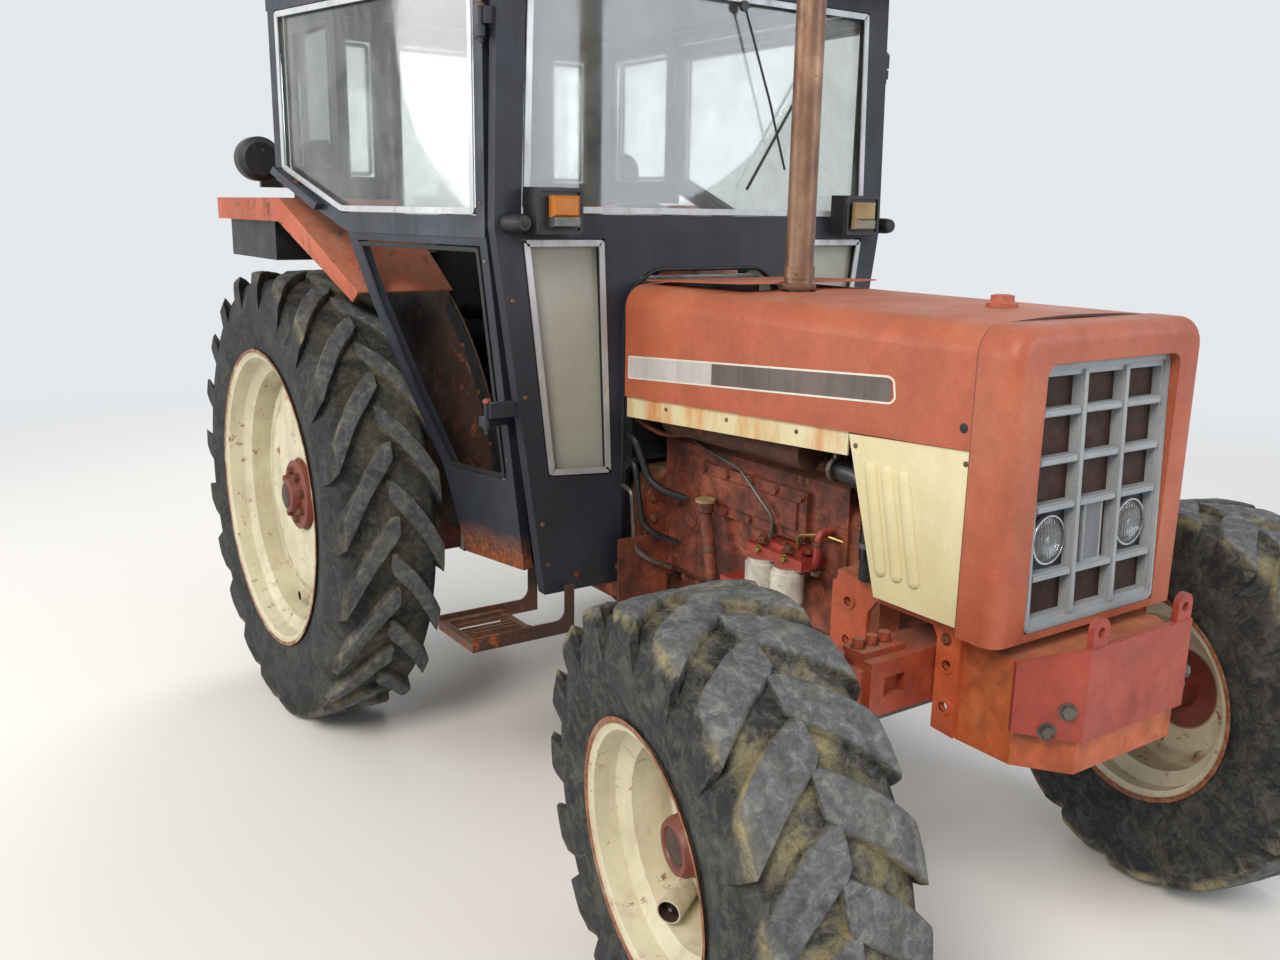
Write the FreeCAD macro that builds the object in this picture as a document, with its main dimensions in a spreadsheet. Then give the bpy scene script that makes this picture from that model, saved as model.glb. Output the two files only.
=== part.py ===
import FreeCAD, Part
import math
import os
import re
from types import SimpleNamespace
from FreeCAD import Placement, Rotation, Vector

# Farm tractor with a cab, two-wheel drive.
# Millimetres. +X is forward, +Y is the tractor's left, +Z is up, and the ground is z = 0.
# Every x in this file counts forward from the rear axle; rear_axle_x moves the whole tractor
# so that the origin lies under the middle of its bounding box.

doc = FreeCAD.newDocument("Tractor")

# Driving sizes: alias, value, note
SIZES = [
    ("rear_axle_x", -909, "rear axle, from the origin"),
    ("wheelbase", 2245, "rear axle to front axle"),
    ("seat_gap", 0.3, "gap between faces of different pieces"),
    ("running_gap", 0.05, "radial clearance of a shaft in its hole"),
    ("rear_wheel_y", 826, "middle plane of a rear wheel"),
    ("rear_tyre_rad", 762, "rear tyre at its lugs"),
    ("rear_lug_high", 27, "height of a rear lug"),
    ("rear_tyre_half", 172, "half of the rear tyre's width"),
    ("rear_rim_rad", 505, "outside of the rear rim's flange"),
    ("rear_rim_half", 160, "middle plane to the rear rim's flange"),
    ("front_tyre_rad", 508, "front tyre at its lugs"),
    ("front_lug_high", 22, "height of a front lug"),
    ("front_tyre_half", 176, "half of the front tyre's width"),
    ("front_rim_rad", 279, "outside of the front rim's flange"),
    ("front_rim_half", 165, "middle plane to the front rim's flange"),
    ("front_wheel_offset", 237, "kingpin to the front wheel's middle plane"),
    ("camber_room", 4, "what the front wheel's camber adds under its centre"),
    ("rim_wall", 9, "rim and disc sheet"),
    ("kingpin_y", 530, "kingpin from the middle of the tractor"),
    ("parked_steer", -9.5, "front wheels as parked, degrees to the left"),
    ("camber", 3, "front wheel's camber, degrees"),
    ("kingpin_rad", 20, "kingpin"),
    ("arm_long", 190, "steering arm, kingpin to tie rod pin"),
    ("tie_pin_rad", 9, "tie rod's pin"),
    ("beam_rise", 273, "front wheel's centre to the middle of the axle beam"),
    ("beam_high", 120, "height of the front axle beam"),
    ("beam_wide", 110, "front axle beam along X"),
    ("pivot_rad", 26, "pin that the front axle swings on"),
    ("bonnet_back", 1080, "front axle back to the rear edge of the bonnet"),
    ("bonnet_long", 1227, "length of the bonnet up to the nose's seam"),
    ("bonnet_half", 300, "half of the bonnet's width"),
    ("bonnet_low", 1226, "lower edge of the bonnet at the rear"),
    ("bonnet_rise", 64, "how much higher that edge is at the front"),
    ("bonnet_top", 1545, "top of the bonnet in the middle"),
    ("bonnet_round", 67, "rounding of the bonnet's shoulders"),
    ("sheet", 5, "sheet metal of bonnet and panels"),
    ("nose_long", 98, "nose in front of the seam"),
    ("nose_step", 8, "how far the nose's sides stand out from the bonnet's"),
    ("nose_low", 908, "lower edge of the nose"),
    ("nose_drop", 7, "top of the bonnet to top of the nose"),
    ("nose_wall", 8, "wall of the nose"),
    ("nose_round", 62, "rounding of the nose's edges"),
    ("grille_half", 218, "half of the grille's width"),
    ("grille_under", 16, "lower edge of the nose to the grille"),
    ("grille_over", 73, "grille to the top of the nose"),
    ("grille_bar", 17, "width of a grille bar"),
    ("grille_depth", 20, "thickness of the grille"),
    ("lamp_rad", 52, "headlamp"),
    ("cab_gap", 25, "cab's front face to the bonnet"),
    ("cab_tail", 450, "rear axle back to the cab's rear face"),
    ("cab_wall", 38, "thickness of the cab's walls"),
    ("cab_half", 690, "half of the cab's width at its widest"),
    ("waist_drop", 67, "top of a fender down to the cab's widest line"),
    ("cab_upper", 710, "waist to the underside of the roof"),
    ("foot_tuck", 145, "how much narrower the front wall is at its foot"),
    ("top_tuck", 18, "how much narrower it is at its top"),
    ("roof_thick", 110, "thickness of the roof"),
    ("roof_edge", 55, "overhang of the roof past the cab's sides"),
    ("pane", 5, "window glass"),
    ("floor_z", 700, "underside of the cab floor"),
    ("floor_sheet", 15, "floor and deck"),
    ("deck_z", 1150, "underside of the deck below the seat"),
    ("skirt_room", 144, "rear tyre to the inner wall beside it"),
    ("skirt_gap", 83, "rear tyre to that wall's front edge"),
    ("fender_gap", 233, "rear tyre to the top of the fender"),
    ("fender_wide", 395, "width of a fender"),
    ("fender_lip", 75, "depth of the fender's outer lip"),
    ("fender_sheet", 6, "sheet metal of a fender"),
    ("pillar_x", 40, "front edge of the cab's side wall"),
    ("door_thick", 32, "thickness of a door"),
    ("door_ajar", 12, "the right door as parked, degrees open"),
    ("door_lean", 7.4, "inward lean of a door below the waist, degrees"),
    ("door_pin_rad", 7, "door's hinge pins"),
    ("fan_z", 1120, "fan's height"),
    ("crank_z", 800, "crankshaft's height"),
    ("engine_half", 160, "half of the engine block's width"),
    ("head_half", 135, "half of the cylinder head's width"),
    ("link_y", 312, "lift arm and lower link from the middle"),
    ("arm_back", 190, "rear axle back to the lift arm's shaft"),
    ("arm_z", 965, "lift arm's shaft"),
    ("arm_reach", 300, "lift arm, shaft to rod pin; equal to the rod's place on the lower link"),
    ("link_z", 470, "lower link's pivot"),
    ("link_reach", 760, "lower link, pivot to ball"),
    ("link_thick", 25, "lift arms and lower links"),
    ("link_pin_rad", 11, "pins of the lift linkage"),
    ("rock_rad", 30, "lift arms' shaft"),
    ("link_ball_rad", 14.3, "bore of a lower link's ball"),
    ("top_pin_rad", 12.8, "bore of the top link's bracket"),
    ("drawbar_hole_rad", 16, "hole in the drawbar"),
    ("shaft_rad", 17.45, "power take-off shaft"),
    ("exhaust_back", 621, "front axle back to the exhaust pipe"),
    ("exhaust_y", 80, "exhaust pipe from the middle, to the right"),
    ("exhaust_rad", 36, "exhaust pipe"),
    ("exhaust_rise", 1035, "exhaust pipe above the bonnet"),
    ("exhaust_wall", 4, "wall of the exhaust pipe"),
    ("rail_half", 240, "side rail's inner face from the middle"),
    ("rail_thick", 14, "side rail's plate"),
    ("bolt_rad", 11, "bolt holes in side rails and bracket"),
]

S = SimpleNamespace(**{alias: value for alias, value, note in SIZES})

# Places that follow from the sizes

S.front_axle_z = S.front_tyre_rad + S.camber_room
S.beam_z = S.front_axle_z + S.beam_rise
S.kingpin_low = S.front_axle_z - 42
S.kingpin_top = S.beam_z + 100
S.block_top = S.beam_z - 95
S.arm_low = S.front_axle_z + 18
S.bonnet_rear = S.wheelbase - S.bonnet_back
S.bonnet_front = S.bonnet_rear + S.bonnet_long
S.nose_front = S.bonnet_front + S.nose_long
S.nose_half = S.bonnet_half + S.nose_step
S.nose_top = S.bonnet_top - S.nose_drop
S.grille_low = S.nose_low + S.grille_under
S.grille_top = S.nose_top - S.grille_over
S.engine_rear = S.bonnet_rear + 15
S.engine_front = S.wheelbase - 315
S.cab_front = S.bonnet_rear - S.cab_gap
S.fender_top = 2 * S.rear_tyre_rad + S.fender_gap
S.cab_waist = S.fender_top - S.waist_drop
S.cab_top = S.cab_waist + S.cab_upper
S.skirt_y = S.rear_wheel_y - S.rear_tyre_half - S.skirt_room
S.skirt_rad = S.rear_tyre_rad + S.skirt_gap
S.fender_half = S.skirt_y + S.fender_wide
S.door_hinge_x = S.cab_front - 32
S.door_hinge_y = S.cab_half + 14
S.exhaust_x = S.wheelbase - S.exhaust_back

# Every size and place goes into one sheet, where the features below find it
NOTES = {alias: note for alias, value, note in SIZES}
ALIASES = list(vars(S))
sheet = doc.addObject("Spreadsheet::Sheet", "Sizes")
for row, alias in enumerate(ALIASES, start=1):
    sheet.set("A%d" % row, NOTES.get(alias, "follows from other sizes"))
    sheet.set("B%d" % row, str(getattr(S, alias)))
    sheet.setAlias("B%d" % row, alias)
doc.recompute()


def expression(text):
    """Turn plain alias names into references to the sheet."""
    return re.sub(r"[a-z_]+", lambda m: "Sizes." + m.group(0) if m.group(0) in ALIASES else m.group(0),
                  str(text))


def bind(obj, **sizes):
    """Bind properties to expressions of the sheet."""
    for prop, text in sizes.items():
        obj.setExpression(prop, expression(text))
    return obj


def place(obj, x=0, y=0, z=0, rotation=None):
    """Give an object its place; x counts forward from the rear axle."""
    if rotation is not None:
        obj.Placement = Placement(Vector(0, 0, 0), rotation)
    obj.setExpression("Placement.Base.x", expression("rear_axle_x + (%s)" % x))
    obj.setExpression("Placement.Base.y", expression(y))
    obj.setExpression("Placement.Base.z", expression(z))
    return obj


def point(x, y, z):
    """A place in the document, from an x that counts from the rear axle."""
    return Vector(S.rear_axle_x + x, y, z)


# Turns that carry a solid's own axis to the tractor's.
# A cylinder starts along Z and a turned profile along X.
TO_X = Rotation(Vector(0, 1, 0), 90)
TO_Y = Rotation(Vector(1, 0, 0), -90)
UPRIGHT = Rotation(Vector(0, 1, 0), -90)
AXES = {"x": TO_X, "y": TO_Y, "z": Rotation()}
PLANES = {"x": "YZ_Plane", "y": "XZ_Plane", "z": "XY_Plane"}


def box(name, x, y, z):
    """A box between two expressions on each axis."""
    obj = doc.addObject("Part::Box", name)
    bind(obj, Length="(%s) - (%s)" % (x[1], x[0]), Width="(%s) - (%s)" % (y[1], y[0]),
         Height="(%s) - (%s)" % (z[1], z[0]))
    return place(obj, x[0], y[0], z[0])


def cylinder(name, axis, radius, length, x, y, z):
    """A cylinder that starts at a place and runs along +axis."""
    obj = doc.addObject("Part::Cylinder", name)
    bind(obj, Radius=radius, Height=length)
    return place(obj, x, y, z, AXES[axis])


def fuse(name, pieces):
    obj = doc.addObject("Part::MultiFuse", name)
    obj.Shapes = pieces
    obj.Refine = True
    return obj


def cut(name, base, tools):
    """Take the tools away from the base; several tools are fused first."""
    obj = doc.addObject("Part::Cut", name)
    obj.Base = base
    obj.Tool = tools[0] if len(tools) == 1 else fuse(name + "_tools", tools)
    obj.Refine = True
    return obj


def group(name, pieces):
    obj = doc.addObject("Part::Compound", name)
    obj.Links = pieces
    return obj


def outline(sketch, points):
    """Draw one closed outline; a point with a third value ends an arc through that value's middle point."""
    start = points[-1]
    for end in points:
        a, b = Vector(start[0], start[1], 0), Vector(end[0], end[1], 0)
        if len(end) == 3:
            sketch.addGeometry(Part.Arc(a, Vector(end[2][0], end[2][1], 0), b), False)
        else:
            sketch.addGeometry(Part.LineSegment(a, b), False)
        start = end


def sketched(name, plane, outlines, holes=()):
    """A body with one sketch on an origin plane; holes are circles (u, v, radius)."""
    body = doc.addObject("PartDesign::Body", name)
    sketch = body.newObject("Sketcher::SketchObject", name + "_sketch")
    sketch.AttachmentSupport = ([f for f in body.Origin.OriginFeatures if f.Role == plane][0], [""])
    sketch.MapMode = "FlatFace"
    for points in outlines:
        outline(sketch, points)
    for u, v, radius in holes:
        sketch.addGeometry(Part.Circle(Vector(u, v, 0), Vector(0, 0, 1), radius), False)
    return body, sketch


def plate(name, normal, outlines, thick, x=0, y=0, z=0, rotation=None, holes=()):
    """A padded sketch. Outlines are in the plane square to the normal, in X, Y, Z order.
    The pad runs from the plane along +normal."""
    body, sketch = sketched(name, PLANES[normal], outlines, holes)
    pad = body.newObject("PartDesign::Pad", name + "_pad")
    pad.Profile = sketch
    bind(pad, Length=thick)
    pad.Reversed = normal == "y"
    return place(body, x, y, z, rotation)


def revolved(name, points, x, y, z, rotation=None):
    """A profile of (along the axle, radius) points turned about the local X axis."""
    body, sketch = sketched(name, "XY_Plane", [points])
    turn = body.newObject("PartDesign::Revolution", name + "_turn")
    turn.Profile = sketch
    turn.ReferenceAxis = (sketch, ["H_Axis"])
    turn.Angle = 360
    return place(body, x, y, z, rotation)


def rounded(body, radius, chosen):
    """Fillet the edges of a body whose bounding boxes pass the test."""
    doc.recompute()
    last = body.Tip
    names = ["Edge%d" % n for n, edge in enumerate(last.Shape.Edges, start=1) if chosen(edge.BoundBox)]
    fillet = body.newObject("PartDesign::Fillet", body.Name + "_fillet")
    fillet.Base = (last, names)
    fillet.Radius = radius
    body.Tip = fillet
    return body


def feature(name, shape, placement=None):
    """A solid made by Part's own functions, in places that count x from the rear axle."""
    obj = doc.addObject("Part::Feature", name)
    obj.Shape = shape
    obj.Placement = placement if placement else Placement(point(0, 0, 0), Rotation())
    return obj


def loft(sections):
    """A ruled solid through closed polygons."""
    wires = [Part.makePolygon([Vector(*p) for p in section + section[:1]]) for section in sections]
    return Part.makeLoft(wires, True, True)


def octagon_outline(half, low, high, corner):
    """An upright rectangle with cut corners."""
    return mirrored([(half - corner, low), (half, low + corner), (half, high - corner),
                     (half - corner, high)])


def octagon(x, half, low, high, corner):
    """The same outline as a section across X."""
    return [(x, y, z) for y, z in octagon_outline(half, low, high, corner)]


def mirrored(half_outline):
    """A closed outline from its +Y half, as (y, z) points from bottom to top."""
    return list(half_outline) + [(-y, z) for y, z in reversed(half_outline)]


def polyhedron(sections):
    """A solid through closed polygons, its sides split into flat triangles."""
    rings = [[Vector(*p) for p in section] for section in sections]
    count = len(rings[0])
    faces = [Part.Face(Part.makePolygon(ring + [ring[0]])) for ring in (rings[0], rings[-1])]
    for here, after in zip(rings, rings[1:]):
        for k in range(count):
            n = (k + 1) % count
            faces.append(Part.Face(Part.makePolygon([here[k], here[n], after[n], here[k]])))
            faces.append(Part.Face(Part.makePolygon([here[k], after[n], after[k], here[k]])))
    solid = Part.Solid(Part.makeShell(faces))
    if solid.Volume < 0:
        solid.reverse()
    return solid


def bent_pipe(points, bend, radius):
    """A round solid along straight runs joined by arcs of one bend radius."""
    points = [Vector(*p) for p in points]
    edges = []
    start = points[0]
    for before, corner, after in zip(points, points[1:], points[2:]):
        u = (before - corner).normalize()
        w = (after - corner).normalize()
        reach = bend / math.tan(u.getAngle(w) / 2)
        first, last = corner + u * reach, corner + w * reach
        inward = (u + w).normalize()
        centre = corner + inward * math.hypot(bend, reach)
        edges.append(Part.makeLine(start, first))
        edges.append(Part.Arc(first, centre - inward * bend, last).toShape())
        start = last
    edges.append(Part.makeLine(start, points[-1]))
    section = Part.Wire([Part.makeCircle(radius, points[0], points[1] - points[0])])
    return Part.Wire(edges).makePipeShell([section], True, False)


def inset(points, gap):
    """Move the sides of an outline inwards by the gap."""
    area = sum(p[0] * q[1] - q[0] * p[1] for p, q in zip(points, points[1:] + points[:1]))
    inward = math.copysign(gap, area)
    moved = []
    for before, here, after in zip(points[-1:] + points[:-1], points, points[1:] + points[:1]):
        u = Vector(here[0] - before[0], here[1] - before[1], 0).normalize()
        w = Vector(after[0] - here[0], after[1] - here[1], 0).normalize()
        reach = inward / (1 + u.dot(w))
        moved.append((here[0] - reach * (u.y + w.y), here[1] + reach * (u.x + w.x)))
    return moved


NODES = []


def node(obj, label):
    """Name the finished sub-part; its label is its file's name."""
    obj.Label = label
    NODES.append(obj)
    return obj


SIDES = (("right", -1), ("left", 1))


def both(low, high, side):
    """A range of y on one side, as box() takes it."""
    if side > 0:
        return (low, high)
    return ("-(%s)" % high, "-(%s)" % low)


# Wheels

REAR_LUGS, REAR_SIDE_COUNT = 21, 28
FRONT_LUGS, FRONT_SIDE_COUNT = 17, 24
REAR_DISC = [(8, 424), (22, 400), (38, 300), (34, 170)]  # outer face of the disc: along the axle, radius
FRONT_DISC = [(-6, 200), (6, 180), (14, 120), (10, 90)]
REAR_HUB = (-46, 52, 118, 38, -150)  # inner end, outer end, radius, shaft radius, shaft end
FRONT_HUB = (-60, 84, 52, 24, 50)
BEAD_SEAT = 20  # rim flange to bead seat
RIM_WELL = 62  # rim flange to the well


def rim_profile(rim_half, rim_rad, wall, disc, hub):
    """Closed profile of rim, dished disc and hub as (along the axle, radius)."""
    seat = rim_rad - BEAD_SEAT
    well = rim_rad - RIM_WELL
    hub_in, hub_out, hub_rad, shaft_rad, shaft_end = hub
    outer = [
        (rim_half, rim_rad), (rim_half - 14, seat), (rim_half - 62, seat - 6), (rim_half - 84, well),
        (70 - rim_half, well), (50 - rim_half, seat - 6), (14 - rim_half, seat), (-rim_half, rim_rad),
    ]
    inner_back = [
        (-rim_half, rim_rad - wall), (10 - rim_half, seat - wall), (46 - rim_half, seat - 6 - wall),
        (66 - rim_half, well - wall), (disc[0][0] - wall, well - wall),
    ]
    back_face = [(a - wall, r) for a, r in disc] + [(disc[-1][0] - wall, hub_rad)]
    core = [(hub_in, hub_rad), (hub_in, shaft_rad), (shaft_end, shaft_rad), (shaft_end, 0), (hub_out, 0),
            (hub_out, hub_rad)]
    front_face = [(disc[-1][0], hub_rad)] + [(a, r) for a, r in reversed(disc)]
    inner_front = [
        (disc[0][0], well - wall), (rim_half - 80, well - wall), (rim_half - 58, seat - 6 - wall),
        (rim_half - 10, seat - wall), (rim_half, rim_rad - wall),
    ]
    return outer + inner_back + back_face + core + front_face + inner_front


def wheel_turn(side, steer=0, camber=0):
    """Local +X of a wheel points away from the tractor."""
    outwards = Rotation(Vector(0, 0, 1), 90 * side)
    return Rotation(Vector(0, 0, 1), steer) * outwards * Rotation(Vector(0, 1, 0), camber)


def tyre_profile(half, rad, rim_rad, rim_half, side_rad, shoulder, sides):
    """Tyre section as (along the axle, radius): beads on the rim's seat, sides and crown.
    The beads' flats are moved out so that their middles clear the round seat."""
    seat = (rim_rad - BEAD_SEAT + S.seat_gap) / math.cos(math.pi / sides)
    outboard = [(rim_half - 14.5, seat), (half, side_rad), (shoulder, rad)]
    return outboard + [(-a, r) for a, r in reversed(outboard)]


def polygon_ring(profile, sides):
    """The profile turned about X in flat sides, which keeps the file small."""
    rings = []
    for index in range(sides):
        angle = 2 * math.pi * index / sides
        rings.append([Vector(a, r * math.sin(angle), r * math.cos(angle)) for a, r in profile])
    faces = []
    for here, after in zip(rings, rings[1:] + rings[:1]):
        for k in range(len(profile)):
            n = (k + 1) % len(profile)
            faces.append(Part.Face(Part.makePolygon([here[k], here[n], after[n], after[k], here[k]])))
    solid = Part.Solid(Part.makeShell(faces))
    if solid.Volume < 0:
        solid.reverse()
    return solid


def lug(side, sign, stations):
    """One tread lug between its inner end and its outer end at the shoulder.
    A station is a row of distance from the middle plane, root radius, top radius, width and swept angle."""
    sections = []
    for along, root, top, width, sweep in stations:
        corners = []
        for radius, across in ((root, -0.62), (root, 0.62), (top, 0.5), (top, -0.5)):
            turn = side * math.radians(sweep) + across * width / top
            corners.append((sign * along, radius * math.sin(turn), radius * math.cos(turn)))
        sections.append(corners)
    return polyhedron(sections)


def tyre(name, side, profile, side_count, lug_count, stations, centre, rotation):
    """Carcass with its lugs fused on, two rows half a step apart."""
    lugs = []
    for row, sign in enumerate((1, -1)):
        first = lug(side, sign, stations)
        for index in range(lug_count):
            piece = first.copy()
            piece.rotate(Vector(0, 0, 0), Vector(1, 0, 0), 360.0 * (index + 0.5 * row) / lug_count)
            lugs.append(piece)
    return feature(name, polygon_ring(profile, side_count).multiFuse(lugs), Placement(centre, rotation))


REAR_PROFILE = tyre_profile(S.rear_tyre_half, S.rear_tyre_rad - S.rear_lug_high, S.rear_rim_rad,
                            S.rear_rim_half,
                            S.rear_rim_rad + 115, S.rear_tyre_half - 34, REAR_SIDE_COUNT)
FRONT_PROFILE = tyre_profile(S.front_tyre_half, S.front_tyre_rad - S.front_lug_high, S.front_rim_rad,
                             S.front_rim_half,
                             S.front_rim_rad + 93, S.front_tyre_half - 28, FRONT_SIDE_COUNT)
REAR_LUG = [(-12, S.rear_tyre_rad - S.rear_lug_high - 20, S.rear_tyre_rad, 44, 0),
            (0.985 * S.rear_tyre_half, S.rear_rim_rad + 111, S.rear_tyre_rad - 12, 56, -19)]
FRONT_LUG = [(-10, S.front_tyre_rad - S.front_lug_high - 18, S.front_tyre_rad, 46, 0),
             (0.975 * S.front_tyre_half, S.front_rim_rad + 87, S.front_tyre_rad - 10, 60, -17)]


def front_place(side):
    """Centre and turn of a front wheel as parked."""
    turn = wheel_turn(side, S.parked_steer, S.camber)
    out = turn.multVec(Vector(S.front_wheel_offset, 0, 0))
    return point(S.wheelbase + out.x, side * S.kingpin_y + out.y, S.front_axle_z), turn


for name, side in SIDES:
    turn = wheel_turn(side)
    node(revolved("rear_rim_shape_" + name, rim_profile(S.rear_rim_half, S.rear_rim_rad, S.rim_wall,
                                                        REAR_DISC, REAR_HUB),
                  0, "%d * rear_wheel_y" % side, "rear_tyre_rad", turn), "rear_rim_" + name)
    node(tyre("rear_tyre_shape_" + name, side, REAR_PROFILE, REAR_SIDE_COUNT, REAR_LUGS, REAR_LUG,
              point(0, side * S.rear_wheel_y, S.rear_tyre_rad), turn), "rear_tyre_" + name)
    centre, turn = front_place(side)
    node(revolved("front_rim_shape_" + name,
                  rim_profile(S.front_rim_half, S.front_rim_rad, S.rim_wall, FRONT_DISC, FRONT_HUB),
                  centre.x - S.rear_axle_x, centre.y, centre.z, turn), "front_rim_" + name)
    node(tyre("front_tyre_shape_" + name, side, FRONT_PROFILE, FRONT_SIDE_COUNT, FRONT_LUGS, FRONT_LUG,
              centre, turn),
         "front_tyre_" + name)

# Steering: knuckles, axle beam and tie rod

STEER = Rotation(Vector(0, 0, 1), S.parked_steer)
HUB_OUTER = FRONT_HUB[4] - 5  # how far the spindle runs past the wheel's middle plane
COLLAR_END = FRONT_HUB[0] - 8  # the spindle's collar ends this far from that plane
ARM_THICK = 22
ROD_END_HIGH = 30

for name, side in SIDES:
    pin_y = "%d * kingpin_y" % side
    centre, turn_out = front_place(side)
    inner = Placement(centre + turn_out.multVec(Vector(-S.front_wheel_offset, 0, 0)), turn_out * TO_X)
    spindle = doc.addObject("Part::Cylinder", "spindle_" + name)
    bind(spindle, Radius="%s - running_gap" % FRONT_HUB[3], Height="front_wheel_offset + %s" % HUB_OUTER)
    spindle.Placement = inner
    collar = doc.addObject("Part::Cylinder", "spindle_collar_" + name)
    bind(collar, Radius=40, Height="front_wheel_offset + (%s)" % COLLAR_END)
    collar.Placement = inner
    arm = plate("steering_arm_" + name, "z",
                [[(0, -34), (0, 34), (-S.arm_long, 24), (-S.arm_long, -24, (-S.arm_long - 24, 0))]],
                ARM_THICK,
                "wheelbase", pin_y, "arm_low", STEER,
                holes=[(-S.arm_long, 0, S.tie_pin_rad + S.running_gap)])
    node(fuse("knuckle_shape_" + name, [
        cylinder("kingpin_" + name, "z", "kingpin_rad", "kingpin_top - kingpin_low", "wheelbase", pin_y,
                 "kingpin_low"),
        cylinder("knuckle_block_" + name, "z", 44, "block_top - kingpin_low", "wheelbase", pin_y,
                 "kingpin_low"),
        spindle, collar, arm]), "knuckle_" + name)

# Front axle: a box beam with a sliding end on each side, held by a clamp plate with three bolts

BEAM_X = ("wheelbase - beam_wide/2", "wheelbase + beam_wide/2")
BEAM_TOP = "beam_z + beam_high/2"
CLAMP_THICK = 14

axle_pieces = [box("beam", BEAM_X, ("90 - kingpin_y", "kingpin_y - 90"),
                   ("beam_z - beam_high/2", BEAM_TOP))]
axle_tools = [cylinder("beam_pivot_bore", "x", "pivot_rad + running_gap", "beam_wide + 40",
                       "wheelbase - beam_wide/2 - 20", 0, "beam_z")]
for name, side in SIDES:
    pin_y = "%d * kingpin_y" % side
    axle_pieces += [
        box("beam_slide_" + name, ("wheelbase - 38", "wheelbase + 38"),
            both("kingpin_y - 230", "kingpin_y - 30", side),
            ("beam_z - 40", "beam_z + 40")),
        cylinder("kingpin_boss_" + name, "z", 46, 170, "wheelbase", pin_y, "beam_z - 80"),
        box("clamp_plate_" + name, ("wheelbase - 30", "wheelbase + 30"),
            both("kingpin_y - 210", "kingpin_y - 90", side),
            (BEAM_TOP, BEAM_TOP + " + %d" % CLAMP_THICK)),
    ]
    for index in range(3):
        axle_pieces.append(cylinder("clamp_bolt_%s_%d" % (name, index), "z", 12, CLAMP_THICK + 20,
                                    "wheelbase - 5",
                                    "%d * (kingpin_y - 185 + 38 * %d)" % (side, index), BEAM_TOP))
    axle_tools += [
        cylinder("kingpin_bore_" + name, "z", "kingpin_rad + running_gap", 400, "wheelbase", pin_y,
                 "beam_z - 200"),
        box("beam_slot_" + name, ("wheelbase + beam_wide/2 - 20", "wheelbase + beam_wide/2 + 5"),
            both("kingpin_y - 190", "kingpin_y - 130", side), ("beam_z - 22", "beam_z + 22")),
    ]
node(cut("front_axle_shape", fuse("front_axle_solid", axle_pieces), axle_tools), "front_axle")

# The rod lies between the ends of the two steering arms, which turn by the same angle
ROD_END_LOW = "arm_low + %d + 6" % ARM_THICK
arm_end = STEER.multVec(Vector(-S.arm_long, 0, 0))
rod_pieces = []
for name, side in SIDES:
    rod_x, rod_y = "wheelbase + (%s)" % arm_end.x, "%d * kingpin_y + (%s)" % (side, arm_end.y)
    rod_pieces.append(cylinder("tie_rod_end_" + name, "z", 24, ROD_END_HIGH, rod_x, rod_y, ROD_END_LOW))
    rod_pieces.append(cylinder("tie_rod_pin_" + name, "z", "tie_pin_rad", 40, rod_x, rod_y, "arm_low - 4"))
rod_pieces.append(cylinder("tie_rod_tube", "y", 14, "2 * kingpin_y", "wheelbase + (%s)" % arm_end.x,
                           "(%s) - kingpin_y" % arm_end.y, ROD_END_LOW + " + %d" % (ROD_END_HIGH / 2)))
node(fuse("tie_rod_shape", rod_pieces), "tie_rod")

# Engine: every x counts from the rear of the block or from its front


def arched(half, low, top, radius):
    """An upright outline across X, square below and rounded above."""
    k = radius * (1 - math.sqrt(0.5))
    return [(-half, low), (half, low), (half, top - radius), (half - radius, top, (half - k, top - k)),
            (radius - half, top), (-half, top - radius, (k - half, top - k))]


def from_rear(x):
    return "engine_rear + %s" % x


BLOCK_TOP = 1115
HEAD_TOP = 1235
SUMP_TOP = 690
SUMP = [(35, 118, 606), (110, 142, 560), (580, 142, 560), (720, 112, 618)]  # x, half width, bottom
sump = loft([octagon(S.engine_rear + x, half, low, SUMP_TOP, 20) for x, half, low in SUMP])
FILLER = [(312, -120, 735), (312, -220, 735),
          (267, -220, 947)]  # oil filler tube, from the rear of the block
filler = bent_pipe([(S.engine_rear + x, y, z) for x, y, z in FILLER], 45, 17)
node(fuse("engine_shape", [
    plate("block", "x", [mirrored([(S.engine_half - 32, SUMP_TOP), (S.engine_half, SUMP_TOP + 32),
                                   (S.engine_half, BLOCK_TOP - 18), (S.head_half, BLOCK_TOP)])],
          "engine_front - engine_rear", "engine_rear"),
    plate("head", "x", [mirrored([(S.head_half, BLOCK_TOP), (S.head_half, HEAD_TOP)])],
          "engine_front - engine_rear - 45", from_rear(20)),
    plate("rocker_cover", "x", [arched(88, HEAD_TOP, HEAD_TOP + 90, 34)], "engine_front - engine_rear - 95",
          from_rear(45)),
    feature("sump", sump),
    feature("oil_filler_tube", filler),
    cylinder("oil_filler_cap", "z", 25, 26, from_rear(266), -220, 944),
    plate("timing_cover", "x", [mirrored([(86, 720), (150, 800), (150, 1030), (96, 1090)])], 55,
          "engine_front"),
    revolved("crank_pulley", [(0, 0), (0, 70), (12, 70), (20, 58), (28, 70), (40, 70), (40, 0)],
             "engine_front + 55", 0, "crank_z"),
    revolved("water_pump", [(0, 0), (0, 62), (12, 45), (30, 38), (30, 0)], "engine_front + 55", 0, "fan_z"),
    box("thermostat_housing", ("engine_front - 30", "engine_front + 50"), (-125, -55), (1136, 1200)),
    cylinder("thermostat_outlet", "y", 31, 50, "engine_front + 20", -150, 1168),
]), "engine_block")

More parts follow.
